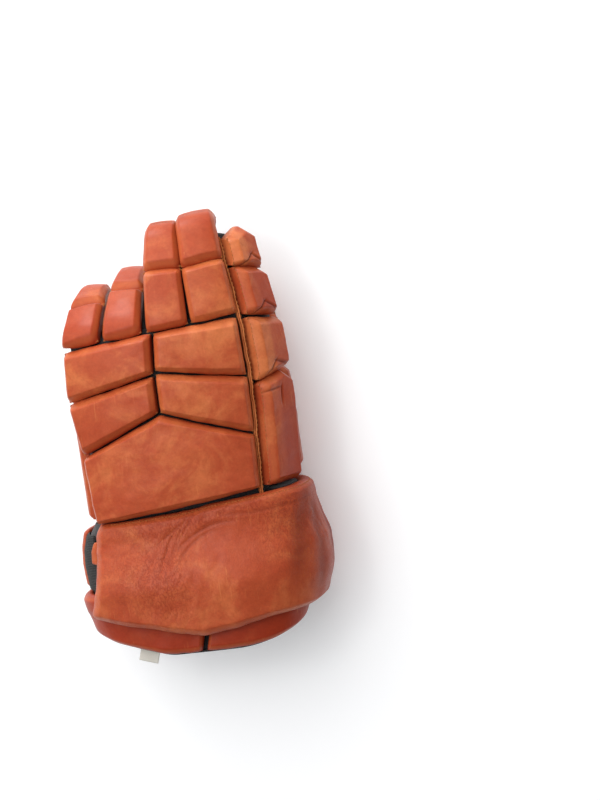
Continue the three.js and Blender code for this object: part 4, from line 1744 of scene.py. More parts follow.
class Finishes(Enum):
    """The glove's finishes. Each value is the finish and the record's slot."""

    LEATHER = (Leather(), "orange_leather")
    SOFT_LEATHER = (
        Leather(name="soft_cuff_leather", relief=0.5, rub_and_highlight=0.15, wrinkled=True),
        "orange_leather",
    )
    BLACK_CLOTH = (
        Cloth("black_glove_cloth", (0.006, 0.006, 0.007), (0.045, 0.042, 0.042)),
        "black_cloth",
    )
    ELASTIC = (
        Cloth("black_knit_elastic", (0.006, 0.006, 0.006), (0.06, 0.056, 0.053), 420.0, 0.9),
        "black_ribbing",
    )
    RIBBING = (Ribbed(), "black_ribbing")
    SUEDE = (Suede(), "grey_suede")
    PERFORATED = (Perforated(), "black_mesh")
    TAG = (
        Cloth("pale_tag_cloth", (0.62, 0.58, 0.5), (0.82, 0.79, 0.72), 1400.0, 0.3),
        "tag_cloth",
    )
    RAW_EDGE = (RawEdge("raw_leather_edge"), "orange_leather")
    THREAD = (
        RawEdge("waxed_thread", (0.50, 0.185, 0.05), (0.22, 0.06, 0.016), 0.6),
        "orange_leather",
    )

    @property
    def material(self) -> bpy.types.Material:
        """The finish's material, made on first use."""
        finish = self.value[0]
        return bpy.data.materials.get(finish.name) or finish.material()


def keep(piece: Piece, finish: Finishes, stands_for: Sequence[str] = ()) -> Piece:
    """Dresses a piece and ties it to the frame.

    Args:
        piece: the finished piece.
        finish: its finish.
        stands_for: the CAD nodes that it replaces.

    Returns:
        The piece.
    """
    piece.data.materials.clear()
    piece.data.materials.append(finish.material)
    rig.ride(piece, "root")
    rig.slot(piece, finish.value[1])
    if stands_for:
        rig.replaces(piece, *stands_for)
    log.info("%s: %d faces", piece.name, len(piece.data.polygons))
    return piece


def thicken(piece: Piece, wall: float) -> None:
    """Gives a sheet a wall towards its inside.

    Args:
        piece: the sheet.
        wall: its thickness in millimetres.
    """
    solid = piece.modifiers.new("wall", "SOLIDIFY")
    solid.thickness = wall / 1000
    solid.offset = -1.0
    solid.use_even_offset = False


def declare_cloth(piece: Piece, points: Array, held: str, rests_on: Sequence[str] = ()) -> None:
    """Declares a cloth piece as a sheet whose flat size is its grid's mean width and mean length.

    Args:
        piece: the piece.
        points: its grid, rows along and columns across, in millimetres.
        held: how it is held.
        rests_on: names of what it lies on or hangs from.
    """
    run = lambda grid: float(np.linalg.norm(np.diff(grid, axis=0), axis=-1).sum(axis=0).mean()) / 1000
    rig.sheet(piece, flat=(run(points.swapaxes(0, 1)), run(points)), held=held, rests_on=rests_on)


def keep_cloth(
    skin: Skin,
    name: str,
    wall: float,
    finish: Finishes,
    stands_for: Sequence[str] = (),
    weld: bool = False,
) -> Piece:
    """Makes the object of a cloth piece.

    Args:
        skin: its outer face.
        name: its name.
        wall: its thickness in millimetres.
        finish: its finish.
        stands_for: the CAD nodes that it replaces.
        weld: whether points that coincide are merged.

    Returns:
        The piece.
    """
    piece = skin.to_object(name, weld)
    thicken(piece, wall)
    return keep(piece, finish, stands_for)


def keep_strip(block: Block, ending: str, finish: Finishes) -> Piece:
    """Makes the object of a block that stands for the node of its name.

    Args:
        block: the block.
        ending: what the piece's name has after the node's.
        finish: its finish.

    Returns:
        The piece.
    """
    piece = block.skin().to_object(block.name + ending, weld=True)
    return keep(piece, finish, [block.name])


def keep_block(block: Block, finish: Finishes = Finishes.LEATHER, fill: float = 0.8) -> Block:
    """Makes a stuffed block's object.

    Args:
        block: the block.
        finish: its finish.
        fill: how full it is stuffed.

    Returns:
        The block, for what is sewn onto it.
    """
    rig.padded(keep_strip(block, "_leather", finish), fill=fill)
    return block


@dataclass
class BackOfHand:
    """The five blocks over the back of the hand."""

    thickness: float = 15.0

    def build(self) -> None:
        """Makes the five blocks."""
        form = Form(self.thickness, band=5.0, step=1.6)
        # The last column is the block's value from dark to light: the leather's own shade with painted light and shade
        # in it.
        table = {
            "knuckle_roll_little": ([(-93.5, 34), (-26.4, 49.4)], [(-92, 71), (-24.4, 78.2)], 0.4),
            "knuckle_roll_index": ([(-23.6, 51.4), (39.4, 39.2)], [(-21.6, 78.2), (37.6, 81.3)], 0.6),
            "back_roll_little": ([(-88, -7), (-26.9, 19.7)], [(-93.5, 31.5), (-26.6, 46.4)], 0.2),
            "back_roll_index": ([(-24.1, 19.7), (39.0, -3.8)], [(-23.8, 47.8), (39.8, 36.5)], 0.6),
            "backhand_pad": ([(-85, -60.5), (37.6, -46.5)], [(-88, -10), (-25.5, 16.4), (38.8, -6.8)], 0.25),
        }
        knots = Seams("back_corner_stitches")
        for seed, (name, (near, far, tone)) in enumerate(table.items()):
            knots.knots(keep_block(Block(name, ARCH, Outline(near, far), form, tone, seed=10 + seed)))
        knots.finish()


@dataclass
class Finger:
    """A finger: two blocks, a cloth stall and a suede underside."""

    name: str
    x: float
    turn: float
    shear: float
    slopes: tuple[float, float]
    lengths: tuple[float, float]
    widths: tuple[float, float, float]
    # Base and tip blocks' values from dark to light: the leather's own shade with painted light and shade in it.
    tones_and_shades: tuple[float, float] = (0.0, 0.0)
    flare: float = 0.0
    wide: float = 0.0
    thickness: float = 13.0
    stall_half_width: float = 13.4
    stall_taper: float = 3.3
    stall_power: float = 2.6
    cloth: float = 1.6

    def build(self) -> None:
        """Makes the finger's pieces."""
        back = FingerBack(self.x, self.turn, self.slopes, self.lengths)
        self.blocks(back)
        self.stall(back)
        self.underside(back)

    def row(self, half: float, b: float, shear: float) -> list[tuple[float, float]]:
        """The ends of a block's edge across the finger, slanted by a shear."""
        right = half + self.wide
        return [(-half, b - shear * half), (right, b + shear * right)]

    def blocks(self, back: FingerBack) -> None:
        """The base block and the tip block, which turns down over the finger's end.

        Args:
            back: the finger's back.
        """
        root, joint, tip = (width / 2 / (1 + self.thickness / 75) for width in self.widths)
        base, end = self.lengths[0], back.end + back.END_LENGTH * 0.75 + back.END_REACH
        form = Form(self.thickness, gap=0.7, band=4.5, wall=0.55, step=1.3, crown=0.5, dent=0.25)
        along_knuckles = ARCH.knuckle_slope + math.sin(math.radians(self.turn))
        root_row = self.row(root, 1.2, along_knuckles)
        near = Outline(root_row, self.row(joint, base - 0.7, self.shear))
        far = Outline(self.row(joint, base + 0.9, self.shear), self.row(tip, end, self.shear))
        seed = int(abs(self.x)) + 20
        seams = Seams(self.name + "_stitches")
        seams.knots(keep_block(Block(self.name + "_base_pad", back, near, form, self.tones_and_shades[0], seed=seed)))
        block = Block(self.name + "_tip_pad", back, far, form, self.tones_and_shades[1], seed=seed + 1)
        place = 1 - 12 / block.length
        block.creases = [Crease(block.width / 2, block.length * place, 0, block.width * 1.1, 0.7, 0.9)]
        seams.knots(keep_block(block))
        seams.add(block, (0.06, place), (0.94, place), 2.2)
        seams.finish()

    def stall(self, back: FingerBack) -> None:
        """The cloth stall: superellipses along the finger, drawn in to a point at its end.
        On the index finger its lower thumb side is widened up to the side blocks.

        Args:
            back: the finger's back.
        """
        length = back.end + 2.5
        cap = 5
        quarter = np.sin(np.linspace(0, math.pi / 2, 10)[1:])
        stops = np.concatenate([np.linspace(0, length - cap, 24), length - cap + cap * quarter])
        inside_cap = np.clip((stops - length + cap) / cap, 0, 1)
        shrink = np.sqrt(np.maximum(0, 1 - inside_cap**self.stall_power))
        sides = 40
        angle = (np.arange(sides) + 0.5) * 2 * math.pi / sides
        s, a = stops[:, None], angle[None, :]
        half_height = back.STALL_HEIGHT / 2
        half_width = self.stall_half_width + self.stall_taper * (1 - s / length)
        across, high = superellipse(a, half_width, half_height, self.stall_power)
        across, high = across * shrink[:, None], high * shrink[:, None]
        widened = self.flare * (0.5 - high / (2 * half_height)) * (1 + 0.15 * s / length)
        spread = np.where(across > 0, widened, 0) * shrink[:, None]
        point, normal, tangent = back.straight(np.broadcast_to(s, across.shape))
        places = point + back.side * (across + spread)[..., None]
        places = places + normal * (high - half_height - back.UNDER)[..., None]
        least = ARCH.knuckle(places[..., 0]) + 0.4
        first = (least[0] - places[0, :, 1]) / tangent[0, :, 1]
        places[0] += tangent[0] * first[:, None]
        places[1:, :, 1] = np.maximum(places[1:, :, 1], least[1:] + 0.3)
        folds = unevenness(places, 11, int(abs(self.x)) + 5)
        outward = unit(back.side * across[..., None] + normal * high[..., None] + tangent * 0.01)
        places = places + outward * (0.35 * folds * (s > 3))[..., None]
        skin = Skin(places.reshape(-1, 3), grid_quads(len(stops), sides, closed=True))
        skin.facing(outward.reshape(-1, 3))
        node = self.name + "_stall"
        piece = keep_cloth(skin, node + "_cloth", self.cloth, Finishes.BLACK_CLOTH, [node], weld=True)
        whole = np.concatenate([places, places[:, :1]], axis=1)
        declare_cloth(piece, whole, "stretched", ["knuckle_gusset_cloth"])

    def underside(self, back: FingerBack) -> None:
        """The suede strip under the finger, with its edges turned in.

        Args:
            back: the finger's back.
        """
        start = 27.0 if self.slopes[0] > 30 else 5.0
        shift = 5.0 if self.flare else 0.0
        sides = lambda b: [(shift - 9.5, b), (shift + 9.5, b)]
        outline = Outline(sides(start), sides(back.end - 4))
        block = Block(self.name + "_palm", FingerUnder(back), outline, SUEDE_STRIP, seed=7)
        piece = keep_strip(block, "_suede", Finishes.SUEDE)
        cut = (block.width / 1000, max(block.length / 1000, 0.011))
        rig.sheet(piece, flat=cut, held="stretched", rests_on=[self.name + "_stall_cloth"])


@dataclass
class SideColumns:
    """The column of blocks down the thumb side, the two on the little finger side, and the welt."""

    thickness: float = 15.0
    little_thickness: float = 10.0

    def build(self) -> None:
        """Makes both columns, the welt and its stitches."""
        form = Form(self.thickness, band=6.0, step=0.8, crown=0.4, wall=0.5)
        seams = Seams("side_column_stitches")
        fold = [Crease(11.5, 5.5, 42, 15, 0.7, 1.6), Crease(23, 6.5, -24, 17, 0.8, 1.5)]
        left = -3.2
        # The third column is the block's value from dark to light: the leather's own shade with painted light and
        # shade in it.
        table = {
            "index_side_tip_pad": (
                [(left, 120.7), (28, 115.2)],
                [(left, 140), (13, 147.5), (25, 141)],
                1.1,
                fold,
            ),
            "index_side_mid_pad": (
                [(left, 83.5), (31, 79.5)],
                [(left, 118.5), (19, 116.5), (28, 111.5)],
                0.5,
                fold,
            ),
            "index_side_base_pad": (
                [(left, 33.5), (33, 40)],
                [(left, 80.2), (33, 75.5)],
                1.3,
                fold,
            ),
            "thumb_side_block": (
                [(left, -46), (34, -47)],
                [(left, 30.2), (20, 37.5), (34, 29.5)],
                0.2,
                [Crease(9, 73.5, -12, 15, 0.7, 1.4), Crease(17.5, 66, 85, 14, 0.8, 1.2)],
            ),
        }
        for seed, (name, (near, far, tone, creases)) in enumerate(table.items()):
            block = Block(name, WALL, Outline(near, far), form, tone, creases, seed=31 + seed)
            # Painted shade: the lower, outer part of each block, which faces away from the light, is darkened.
            block.fade = (0.3, 0.5, -0.9)
            keep_block(block)
            seams.add(block, (0.02, 0.03), (0.02, 0.97), 2.8)
            seams.knots(block)
        seams.finish()
        little = Form(self.little_thickness, band=4.5, step=1.5, crown=0.4, wall=0.5)
        # The last column is the block's value from dark to light: the leather's own shade with painted light and shade
        # in it.
        rows = {
            "little_side_base_pad": ([(-1, -59), (24, -59)], [(-1, 28), (24, 24)], 0.0),
            "little_side_mid_pad": ([(-1, 30.5), (24, 26.5)], [(-1, 69), (24, 69)], -0.1),
        }
        for seed, (name, (near, far, tone)) in enumerate(rows.items()):
            keep_block(Block(name, LittleWall(), Outline(near, far), little, tone, seed=41 + seed))
        self.welt()

    def welt(self) -> None:
        """The raw-edged welt that stands in the groove between the back and the thumb side, wavy
        by two sines, with a row of stitches beside it."""
        y = np.linspace(-56, 142, 240)
        x, z = look_up(WALL.seam, y)
        lean = unit(np.array([0.33, 0.0, 0.94]))
        wave = 0.4 * np.sin(y / 5.1) + 0.25 * np.sin(y / 2.3 + 1)
        height = 9.6 + 0.6 * np.sin(y / 8.7) - 2.5 * smooth((y - 100) / 40)
        foot = stack(x + wave * 0.6 - 2.9, y, z)
        for name, shift in (("thumb_side_welt", -0.62), ("thumb_side_welt_edge", 0.62)):
            tall = height + 0.8 * shift
            path = foot + np.array([shift, 0.0, 0.0]) + lean * (tall / 2)[:, None]
            skin = Tube.swept(path, lean, 0.5, tall / 2, 4.0)
            keep(skin.to_object(name, weld=True), Finishes.RAW_EDGE)
        beside = foot + lean * (height - 1.6)[:, None] + np.array([1.45, 0.0, -0.4])
        rows = Thread.row(beside, unit(np.array([0.85, 0.0, 0.52])), 3.6, 2.4, 0.36)
        keep(rows.to_object("thumb_side_welt_stitches", weld=True), Finishes.THREAD)


@dataclass
class Thumb:
    """The thumb under the palm: a cloth stall, two blocks round it and two ribbed bindings."""

    thickness: float = 14.2
    binding: float = 2.6
    root_top: float = 55.6

    def build(self) -> None:
        """Makes the thumb's pieces."""
        form = Form(self.thickness, gap=0.95, band=7.0, step=1.9, crown=0.6, floor=0.0)
        base = Outline([(202, -44.5), (374, -44.5)], [(202, 36), (374, 36)])
        tip = Outline([(202, 38.2), (374, 38.2)], [(222, 103), (270, 105.5), (335, 103)])
        keep_block(Block("thumb_base_pad", THUMB, base, form, 0.0, seed=51))
        keep_block(Block("thumb_tip_pad", THUMB, tip, form, -0.1, seed=52))
        self.stall()
        self.strip()
        self.bindings()

    def stall(self) -> None:
        """The thumb's stall: superellipses along y from a closed back end to a closed tip. Where it
        reaches the palm its top is left open, between the two angles at which it gets there."""
        y = np.concatenate([[-46, -46], np.linspace(-46, 92, 70), np.linspace(93, 106, 10), [106]])
        share = np.ones(len(y))
        share[:2] = 0.0, 0.6
        share[-1] = 0.0
        tries = np.linspace(0, 90, 181)
        x, half, low, high = (value[:, None] for value in look_up(THUMB.rows, y))
        rise = superellipse(np.radians(tries[None]), half, (high - low) / 2, THUMB.power)[1]
        past = rise + (low + high) / 2 > self.root_top
        open_from = np.where(past[:, -1], 90 - tries[np.argmax(past, axis=1)], 0)
        turn = np.linspace(0, 1, 61)[None, :]
        angle = (90 - open_from)[:, None] - turn * (360 - 2 * open_from)[:, None]
        points = THUMB.place(angle, np.broadcast_to(y[:, None], angle.shape), share[:, None])
        middle = stack(x[:, 0], y, (low + high)[:, 0] / 2)[:, None]
        outward = unit(points - middle + 1e-6)
        points = points + outward * (0.3 * unevenness(points, 10, 61) * (share[:, None] > 0.9))[..., None]
        points[..., 2] = np.minimum(points[..., 2], self.root_top)
        skin = sheet_skin(points, outward)
        finish = Finishes.BLACK_CLOTH
        piece = keep_cloth(skin, "thumb_stall_cloth", 1.6, finish, ["thumb_stall"], weld=True)
        declare_cloth(piece, points, "stretched", ["hand_lining_cloth"])

    def strip(self) -> None:
        """The pale strip of suede that stands beside the inner binding, wavy by a sine."""
        y, v = np.meshgrid(np.linspace(-40, 88, 110), np.linspace(0, 1, 5))
        angle = 181.0 - 9.0 * v
        point, normal = THUMB.at(angle, y)
        points = point + normal * (1.0 + 1.6 * np.sin(v * math.pi) + 0.3 * np.sin(y / 6))[..., None]
        piece = keep_cloth(sheet_skin(points, normal), "thumb_suede_strip", 0.6, Finishes.SUEDE)
        carrier = ["thumb_stall_cloth"]
        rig.sheet(piece, flat=(0.0102, 0.129), held="folded", rests_on=carrier, area=0.0006)

    def bindings(self) -> None:
        """The ribbed bindings along both edges of the thumb's blocks."""
        form = Form(
            self.binding, 1.1, band=2.2, wall=0.3, crown=0.5, tuck=0.1, grow=0.0, dent=0.1, step=1.2
        )
        for name, first, last in (("thumb_binding_inner", 184, 199), ("thumb_binding_outer", 377, 392)):
            outline = Outline([(first, -44), (last, -44)], [(first, 96), (last, 96)])
            block = Block(name, THUMB, outline, form, seed=55)
            piece = keep_strip(block, "_ribbing", Finishes.RIBBING)
            cut = (0.0102, block.length / 1000)
            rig.sheet(piece, flat=cut, held="folded", rests_on=["thumb_stall_cloth"])


@dataclass
class Hand:
    """The lining over the back and the two sides of the hand."""

    cloth: float = 2.0
    wrist_y: float = -56.7
    left_x: float = -89.0
    foot_x: float = -85.0
    foot_z: float = 56.5
    arch_from: float = 0.15
    arch_to: float = 0.82

    def build(self) -> None:
        """Makes the lining, and the strips that join it to the stalls and to the cuff."""
        self.lining()
        self.gusset()
        self.wrist_sides()

    def wrist_sides(self) -> None:
        """The cloth that closes the wrist beside the hand: ruled sheets from the cuff's first ring
        in to the lining's edge, and on the thumb's side on to the edge of the thumb's stall."""
        little = ((0, -80, -59.0, 85), (0.3, -82, -59.5, 74), (1, -82.5, -59.5, 54))
        thumb = ((0, 39, -50.5, 84), (0.42, 53, -46, 57.5), (0.6, 47, -41, 52.5), (1, 46, -43, 34))
        s, t = np.meshgrid(np.linspace(0, 1, 60), np.linspace(0, 1, 12))
        for name, first, last, edge in (("little", 154, 184, little), ("thumb", 18, -24, thumb)):
            outer = CUFF.hem_line(first + (last - first) * s)
            points = outer + (stack(*look_up(edge, s)) - outer) * t[..., None]
            skin = sheet_skin(points, np.array([0.0, 1.0, 0.0]))
            piece = keep_cloth(skin, f"wrist_{name}_gusset_cloth", 1.6, Finishes.BLACK_CLOTH)
            declare_cloth(piece, points, "stretched", ["cuff_lining_cloth", "hand_lining_cloth"])

    def gusset(self) -> None:
        """The cloth strip along the knuckle line, where the stalls are sewn on."""
        x, v = np.meshgrid(np.linspace(-92, 41, 90), np.linspace(-3.0, 4.0, 7))
        y = ARCH.knuckle(x) + v
        points = stack(x, y, ARCH.height(x, y) + 0.42 - 0.03 * np.maximum(v, 0) ** 2)
        skin = sheet_skin(points, UP)
        piece = keep_cloth(skin, "knuckle_gusset_cloth", 0.35, Finishes.BLACK_CLOTH)
        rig.sheet(piece, flat=(0.134, 0.0101), held="stretched", rests_on=["hand_lining_cloth"])

    def lining(self) -> None:
        """The lining: up the little finger side, over the arch and down the thumb side, from the
        slanted wrist line to the knuckle line."""
        rows = np.array([-64.0, -30, -8, 10, 30, 47, 60, 79])
        share = np.linspace(0, 1, len(rows))
        y = np.repeat(rows[:, None], 64, axis=1)
        seam_x, seam_z = look_up(WALL.seam, np.where(y >= 79, 85, y))
        run = np.linspace(0, 1, 64)[None, :] + 0 * y
        first, last = self.arch_from, self.arch_to
        reach = np.clip((run - first) / (last - first), 0, 1)
        arch_x = self.left_x + (seam_x - 1.5 - self.left_x) * reach
        points = stack(arch_x, y, ARCH.height(arch_x, y))
        up = np.clip(run / first, 0, 1)[..., None]
        low = stack(self.foot_x + 0 * y, y, self.foot_z + 0 * y)
        points = np.where(run[..., None] < first, low + (points - low) * up, points)
        down = np.clip((run - last) / (1 - last), 0, 1)[..., None]
        angle = math.radians(WALL.down)
        foot_x = seam_x + WALL.width * math.cos(angle)
        foot = stack(foot_x, y, seam_z - WALL.width * math.sin(angle))
        seam = stack(seam_x, y, seam_z - 0.5)
        points = np.where(run[..., None] > last, seam + (foot - seam) * down, points)
        wrist = self.wrist_y + CUFF.lean(points[..., 0])
        knuckle = ARCH.knuckle(points[..., 0])
        points[..., 1] = wrist + (knuckle - wrist) * share[:, None]
        over = (run > first) & (run < last)
        arch_z = ARCH.height(points[..., 0], points[..., 1])
        points[..., 2] = np.where(over, arch_z, points[..., 2])
        middle = np.array([ARCH.x, 0.0, 40.0])
        outward = unit((points - middle) * [1, 0, 1])
        skin = sheet_skin(points, outward)
        finish = Finishes.BLACK_CLOTH
        piece = keep_cloth(skin, "hand_lining_cloth", self.cloth, finish, ["hand_lining"])
        declare_cloth(piece, points, "stretched", ["palm_suede_cloth"])


@dataclass
class Palm:
    """The palm: a perforated panel, a suede panel with the thumb's hole, a binding and an elastic."""

    z: float = 56.0
    cloth: float = 1.4

    def build(self) -> None:
        """Makes the palm's pieces."""
        self.perforated()
        self.suede()
        self.binding()
        self.elastic()

    def panel(self, parts: Sequence[tuple[Array, Array]], sag: tuple[float, float, int]) -> Skin:
        """A sheet of the palm, sagging a little.

        Args:
            parts: grids of plan points, each with the mask of the quads that it keeps.
            sag: depth, wavelength and seed of its unevenness.

        Returns:
            The skin, facing the hand.
        """
        depth, size, seed = sag
        whole = None
        for grid, kept in parts:
            uneven = unevenness(stack(grid[..., 0], grid[..., 1], 0.0), size, seed)
            high = self.z + 1.2 + depth * uneven
            part = sheet_skin(stack(grid[..., 0], grid[..., 1], high), UP)
            part.quads = part.quads[kept.ravel()]
            whole = part if whole is None else whole.plus(part)
        return whole

    def perforated(self) -> None:
        """The perforated panel, on the little finger side of the palm."""
        s, t = np.meshgrid(np.linspace(0, 1, 43), np.linspace(0, 1, 52))
        outline = Outline([(-82, -60.5), (2, -54)], [(-82, 40), (2, 62)])
        every = np.ones((51, 42), bool)
        skin = self.panel([(stack(*outline.place(s, t)), every)], (0.35, 24, 71))
        nodes = ["palm_mesh"]
        piece = keep_cloth(skin, "palm_mesh_cloth", self.cloth, Finishes.PERFORATED, nodes, True)
        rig.sheet(piece, flat=(0.084, 0.11), held="stretched", rests_on=["hand_lining_cloth"])

    def suede(self) -> None:
        """The suede panel: a part beside the thumb, whose grid lines run along the thumb's hole, and
        a part across the roots of the fingers."""
        right = ((-54, 51.5), (-50, 51.5), (0, 54.3), (80.5, 53.4))
        lines = lambda *stops: np.concatenate([np.linspace(a, b, n)[:-1] for a, b, n in stops])
        xs = np.append(lines((0.0, 0.15, 6), (0.15, 0.86, 19), (0.86, 1.0, 6)), 1.0)
        ys = np.append(lines((-54.0, -38.0, 9), (-38.0, 9.0, 24), (9.0, 62.7, 28)), 62.7)
        s, y = np.meshgrid(xs, ys)
        x = 2.5 + (look_up(right, y)[0] - 2.5) * s
        beside = stack(x, np.maximum(y, -54 + 4 * s))
        quad_s, quad_y = s[:-1, :-1], y[:-1, :-1]
        hole = (quad_s >= 0.149) & (quad_s < 0.859) & (quad_y >= -38.01) & (quad_y < 8.99)
        s, t = np.meshgrid(np.linspace(0, 1, 70), np.linspace(0, 1, 17))
        near, far = [(-82, 40.6), (2.5, 62.7), (53.6, 62.7)], [(-82, 71.5), (43, 83), (53.4, 80.5)]
        across = stack(*Outline(near, far).place(s, t))
        skin = self.panel([(beside, ~hole), (across, np.ones((16, 69), bool))], (0.4, 20, 72))
        nodes = ["palm_suede"]
        piece = keep_cloth(skin, "palm_suede_cloth", self.cloth, Finishes.SUEDE, nodes, True)
        carrier = ["hand_lining_cloth"]
        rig.sheet(piece, flat=(0.136, 0.137), area=0.0076, held="stretched", rests_on=carrier)

    def binding(self) -> None:
        """The ribbed binding along the little finger edge of the palm."""
        form = Form(2.4, 0.1, band=2.2, wall=0.3, crown=0.4, tuck=0.0, grow=0.0, dent=0.1, step=1.2)
        outline = Outline([(-81.5, -52), (-74, -52)], [(-81.5, 70), (-74, 70)])
        block = Block("palm_binding", Ceiling(self.z - 0.4), outline, form)
        piece = keep_strip(block, "_ribbing", Finishes.RIBBING)
        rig.sheet(piece, flat=(0.01, 0.122), held="folded", rests_on=["palm_mesh_cloth"])

    def elastic(self) -> None:
        """The knitted elastic that closes the wrist under the palm: a ruled sheet from a line under
        the palm to the end of the cuff's lining, gathered into ribs by a sine that fades there."""
        s, t = np.meshgrid(np.linspace(0, 1, 190), np.linspace(0, 1, 24))
        low = CUFF.hem_line(180 + 130 * s)
        x = -86.5 + 95 * s
        high = stack(x, -49.9 + CUFF.lean(x), self.z - 0.5)
        share = np.stack([t, t**1.5, t], axis=-1)
        points = high + (low - high) * share
        points[..., 1] += 0.9 * (1 - 0.8 * t**3) * np.sin(s * 2 * math.pi * 36)
        skin = sheet_skin(points, np.array([0.0, -1.0, -0.2]))
        piece = keep_cloth(skin, "wrist_elastic_knit", 1.6, Finishes.ELASTIC, ["wrist_elastic"])
        declare_cloth(piece, points, "gathered", ["palm_mesh_cloth", "cuff_lining_cloth"])


@dataclass(frozen=True)
class Ceiling:
    """A level plane that pieces hang under."""

    z: float

    def at(self, a: Array, b: Array) -> Pair:
        """Points at x and y, with normals that point down."""
        points = stack(a, b, self.z + 0 * np.asarray(a))
        return points, np.broadcast_to([0.0, 0.0, -1.0], points.shape)


@dataclass
class Cuff:
    """The cuff: lining, strap, flaps, the palm side's rolls and panels, webbing, tabs and tag."""

    pad: float = 11.0
    flap: float = 8.5
    top_y: float = -58.3
    palm_seam: float = -93.0
    strap_near: tuple[tuple[float, float], ...] = (
        (-55, -116),
        (-25, -129),
        (0, -135.5),
        (15, -137),
        (35, -143),
        (50, -148),
        (75, -151.5),
        (105, -147),
        (133, -138.5),
        (142, -133.5),
        (149, -129),
    )

    def build(self) -> None:
        """Makes the cuff's pieces."""
        self.lining()
        self.strap()
        self.flaps()
        self.palm_side()
        self.webbing()
        self.tag()

    def near_edge(self, angle: Array) -> Array:
        """y of the strap's edge towards the rim."""
        return softened(self.strap_near, angle)

    @staticmethod
    def level(y: float) -> Callable[[Array], Array]:
        """An edge at one y."""
        return lambda angle: y + 0 * angle

    @staticmethod
    def rim(angle: Array) -> Array:
        """The edge at the cuff's rim."""
        return CUFF.rim_y(angle) + 0.5

    def lining(self) -> None:
        """The lining, a closed band from the rim to the wrist line."""
        angle = np.arange(144) * 2.5
        t = np.linspace(0, 1, 44)[:, None]
        y = CUFF.rim_y(angle)[None] * (1 - t) + CUFF.end_y * t
        points, normals = CUFF.at(np.broadcast_to(angle[None], y.shape), y)
        skin = Skin(points.reshape(-1, 3), grid_quads(*y.shape, closed=True))
        skin.facing(normals.reshape(-1, 3))
        finish = Finishes.BLACK_CLOTH
        piece = keep_cloth(skin, "cuff_lining_cloth", 2.5, finish, ["cuff_lining"])
        whole = np.concatenate([points, points[:, :1]], axis=1)
        declare_cloth(piece, whole, "stretched", ["cuff_strap_leather"])

    def strap(self) -> None:
        """The wide soft strap over the cuff, creased where it bends with the wrist."""
        turn = lambda angle, t: smooth((angle - 100) / 49) * (9 * t**2 + 7 * (1 - t) ** 4)
        wrist = lambda angle: self.top_y + 2.2 * smooth((90 - angle) / 40) * smooth((angle + 20) / 30)
        band = Band(-55, 149, self.near_edge, wrist, turn)
        form = Form(
            self.pad, 0.8, 6.5, 0.5, bevel=0.6, crown=1.0, dent=0.45, grow=0.3, step=1.35, floor=0.0
        )
        block = Block("cuff_strap", STRAP, band, form, 0.15, seed=63)
        block.creases = self.strap_creases(block)
        # Painted shade: the strap is darkened where it turns down round the thumb side, away from the light.
        block.fade = (0.40, 0.24, -1.1)
        block.wrinkles = ((0.82, 0.45, 0.13, 0.35), (0.66, 0.9, 0.3, 0.07), (0.34, 0.7, 0.09, 0.3))
        keep_block(block, Finishes.SOFT_LEATHER, 0.55)
        seams = Seams("cuff_strap_stitches")
        seams.add(block, (0.02, 0.975), (0.97, 0.975), 2.6)
        seams.add(block, (0.012, 0.03), (0.012, 0.95), 3.0)
        seams.finish()
        t = np.linspace(0.02, 0.98, 120)
        edge, normal = block.on_surface(0 * t + 0.002, t)
        height = 5.5 + 0.5 * np.sin(t * 40)
        path = edge + normal * (height / 2)[:, None]
        path[:, 2] = np.maximum(path[:, 2], height / 2)
        raw = Tube.swept(path, normal, 0.5, height / 2, 4.0)
        keep(raw.to_object("cuff_strap_raw_edge", weld=True), Finishes.RAW_EDGE)

    @staticmethod
    def strap_creases(block: Block) -> list[Crease]:
        """The strap's folds: long ones by its upper edge and thumb end, and many short ones on the
        little finger side, seeded and turned about one direction.

        Args:
            block: the strap.

        Returns:
            The creases in the strap's flat millimetres.
        """
        w, l = block.width, block.length
        long_ones = [
            Crease(0.42 * w, 0.86 * l, 3, 60, 1.0, 0.6, 2.0),
            Crease(0.60 * w, 0.83 * l, 172, 66, 1.1, 0.8, 4.0),
            Crease(0.66 * w, 0.74 * l, 158, 52, 1.2, 0.6, 5.0),
            Crease(0.76 * w, 0.86 * l, 160, 40, 1.0, 0.6, 3.0),
            Crease(0.245 * w, 0.60 * l, 96, 60, 2.6, 1.3, 2.0),
            Crease(0.31 * w, 0.66 * l, 84, 36, 1.1, 0.5, -2.0),
            Crease(0.20 * w, 0.50 * l, 88, 44, 2.2, 0.8, 2.0),
            Crease(0.365 * w, 0.62 * l, 106, 62, 4.5, 1.4, 4.0),
            Crease(0.33 * w, 0.50 * l, 98, 70, 3.5, 1.1, 3.0),
            Crease(0.74 * w, 0.78 * l, 128, 44, 1.0, 0.5, 2.0),
            Crease(0.79 * w, 0.70 * l, 120, 40, 0.9, 0.4, 1.5),
            Crease(0.70 * w, 0.84 * l, 142, 36, 0.9, 0.45, 1.5),
        ]
        random = np.random.default_rng(8)
        columns = ((0.68, 0.93, 0.15, 0.85, 128, 60), (0.28, 0.42, 0.5, 0.9, 95, 30))
        short = [
            Crease(
                w * random.uniform(left, right),
                l * random.uniform(low, high),
                random.normal(angle, 18),
                random.uniform(6, 14),
                random.uniform(0.5, 0.8),
                random.uniform(0.14, 0.30),
                random.normal(0, 1.0),
            )
            for left, right, low, high, angle, count in columns
            for _ in range(count)
        ]
        return long_ones + short

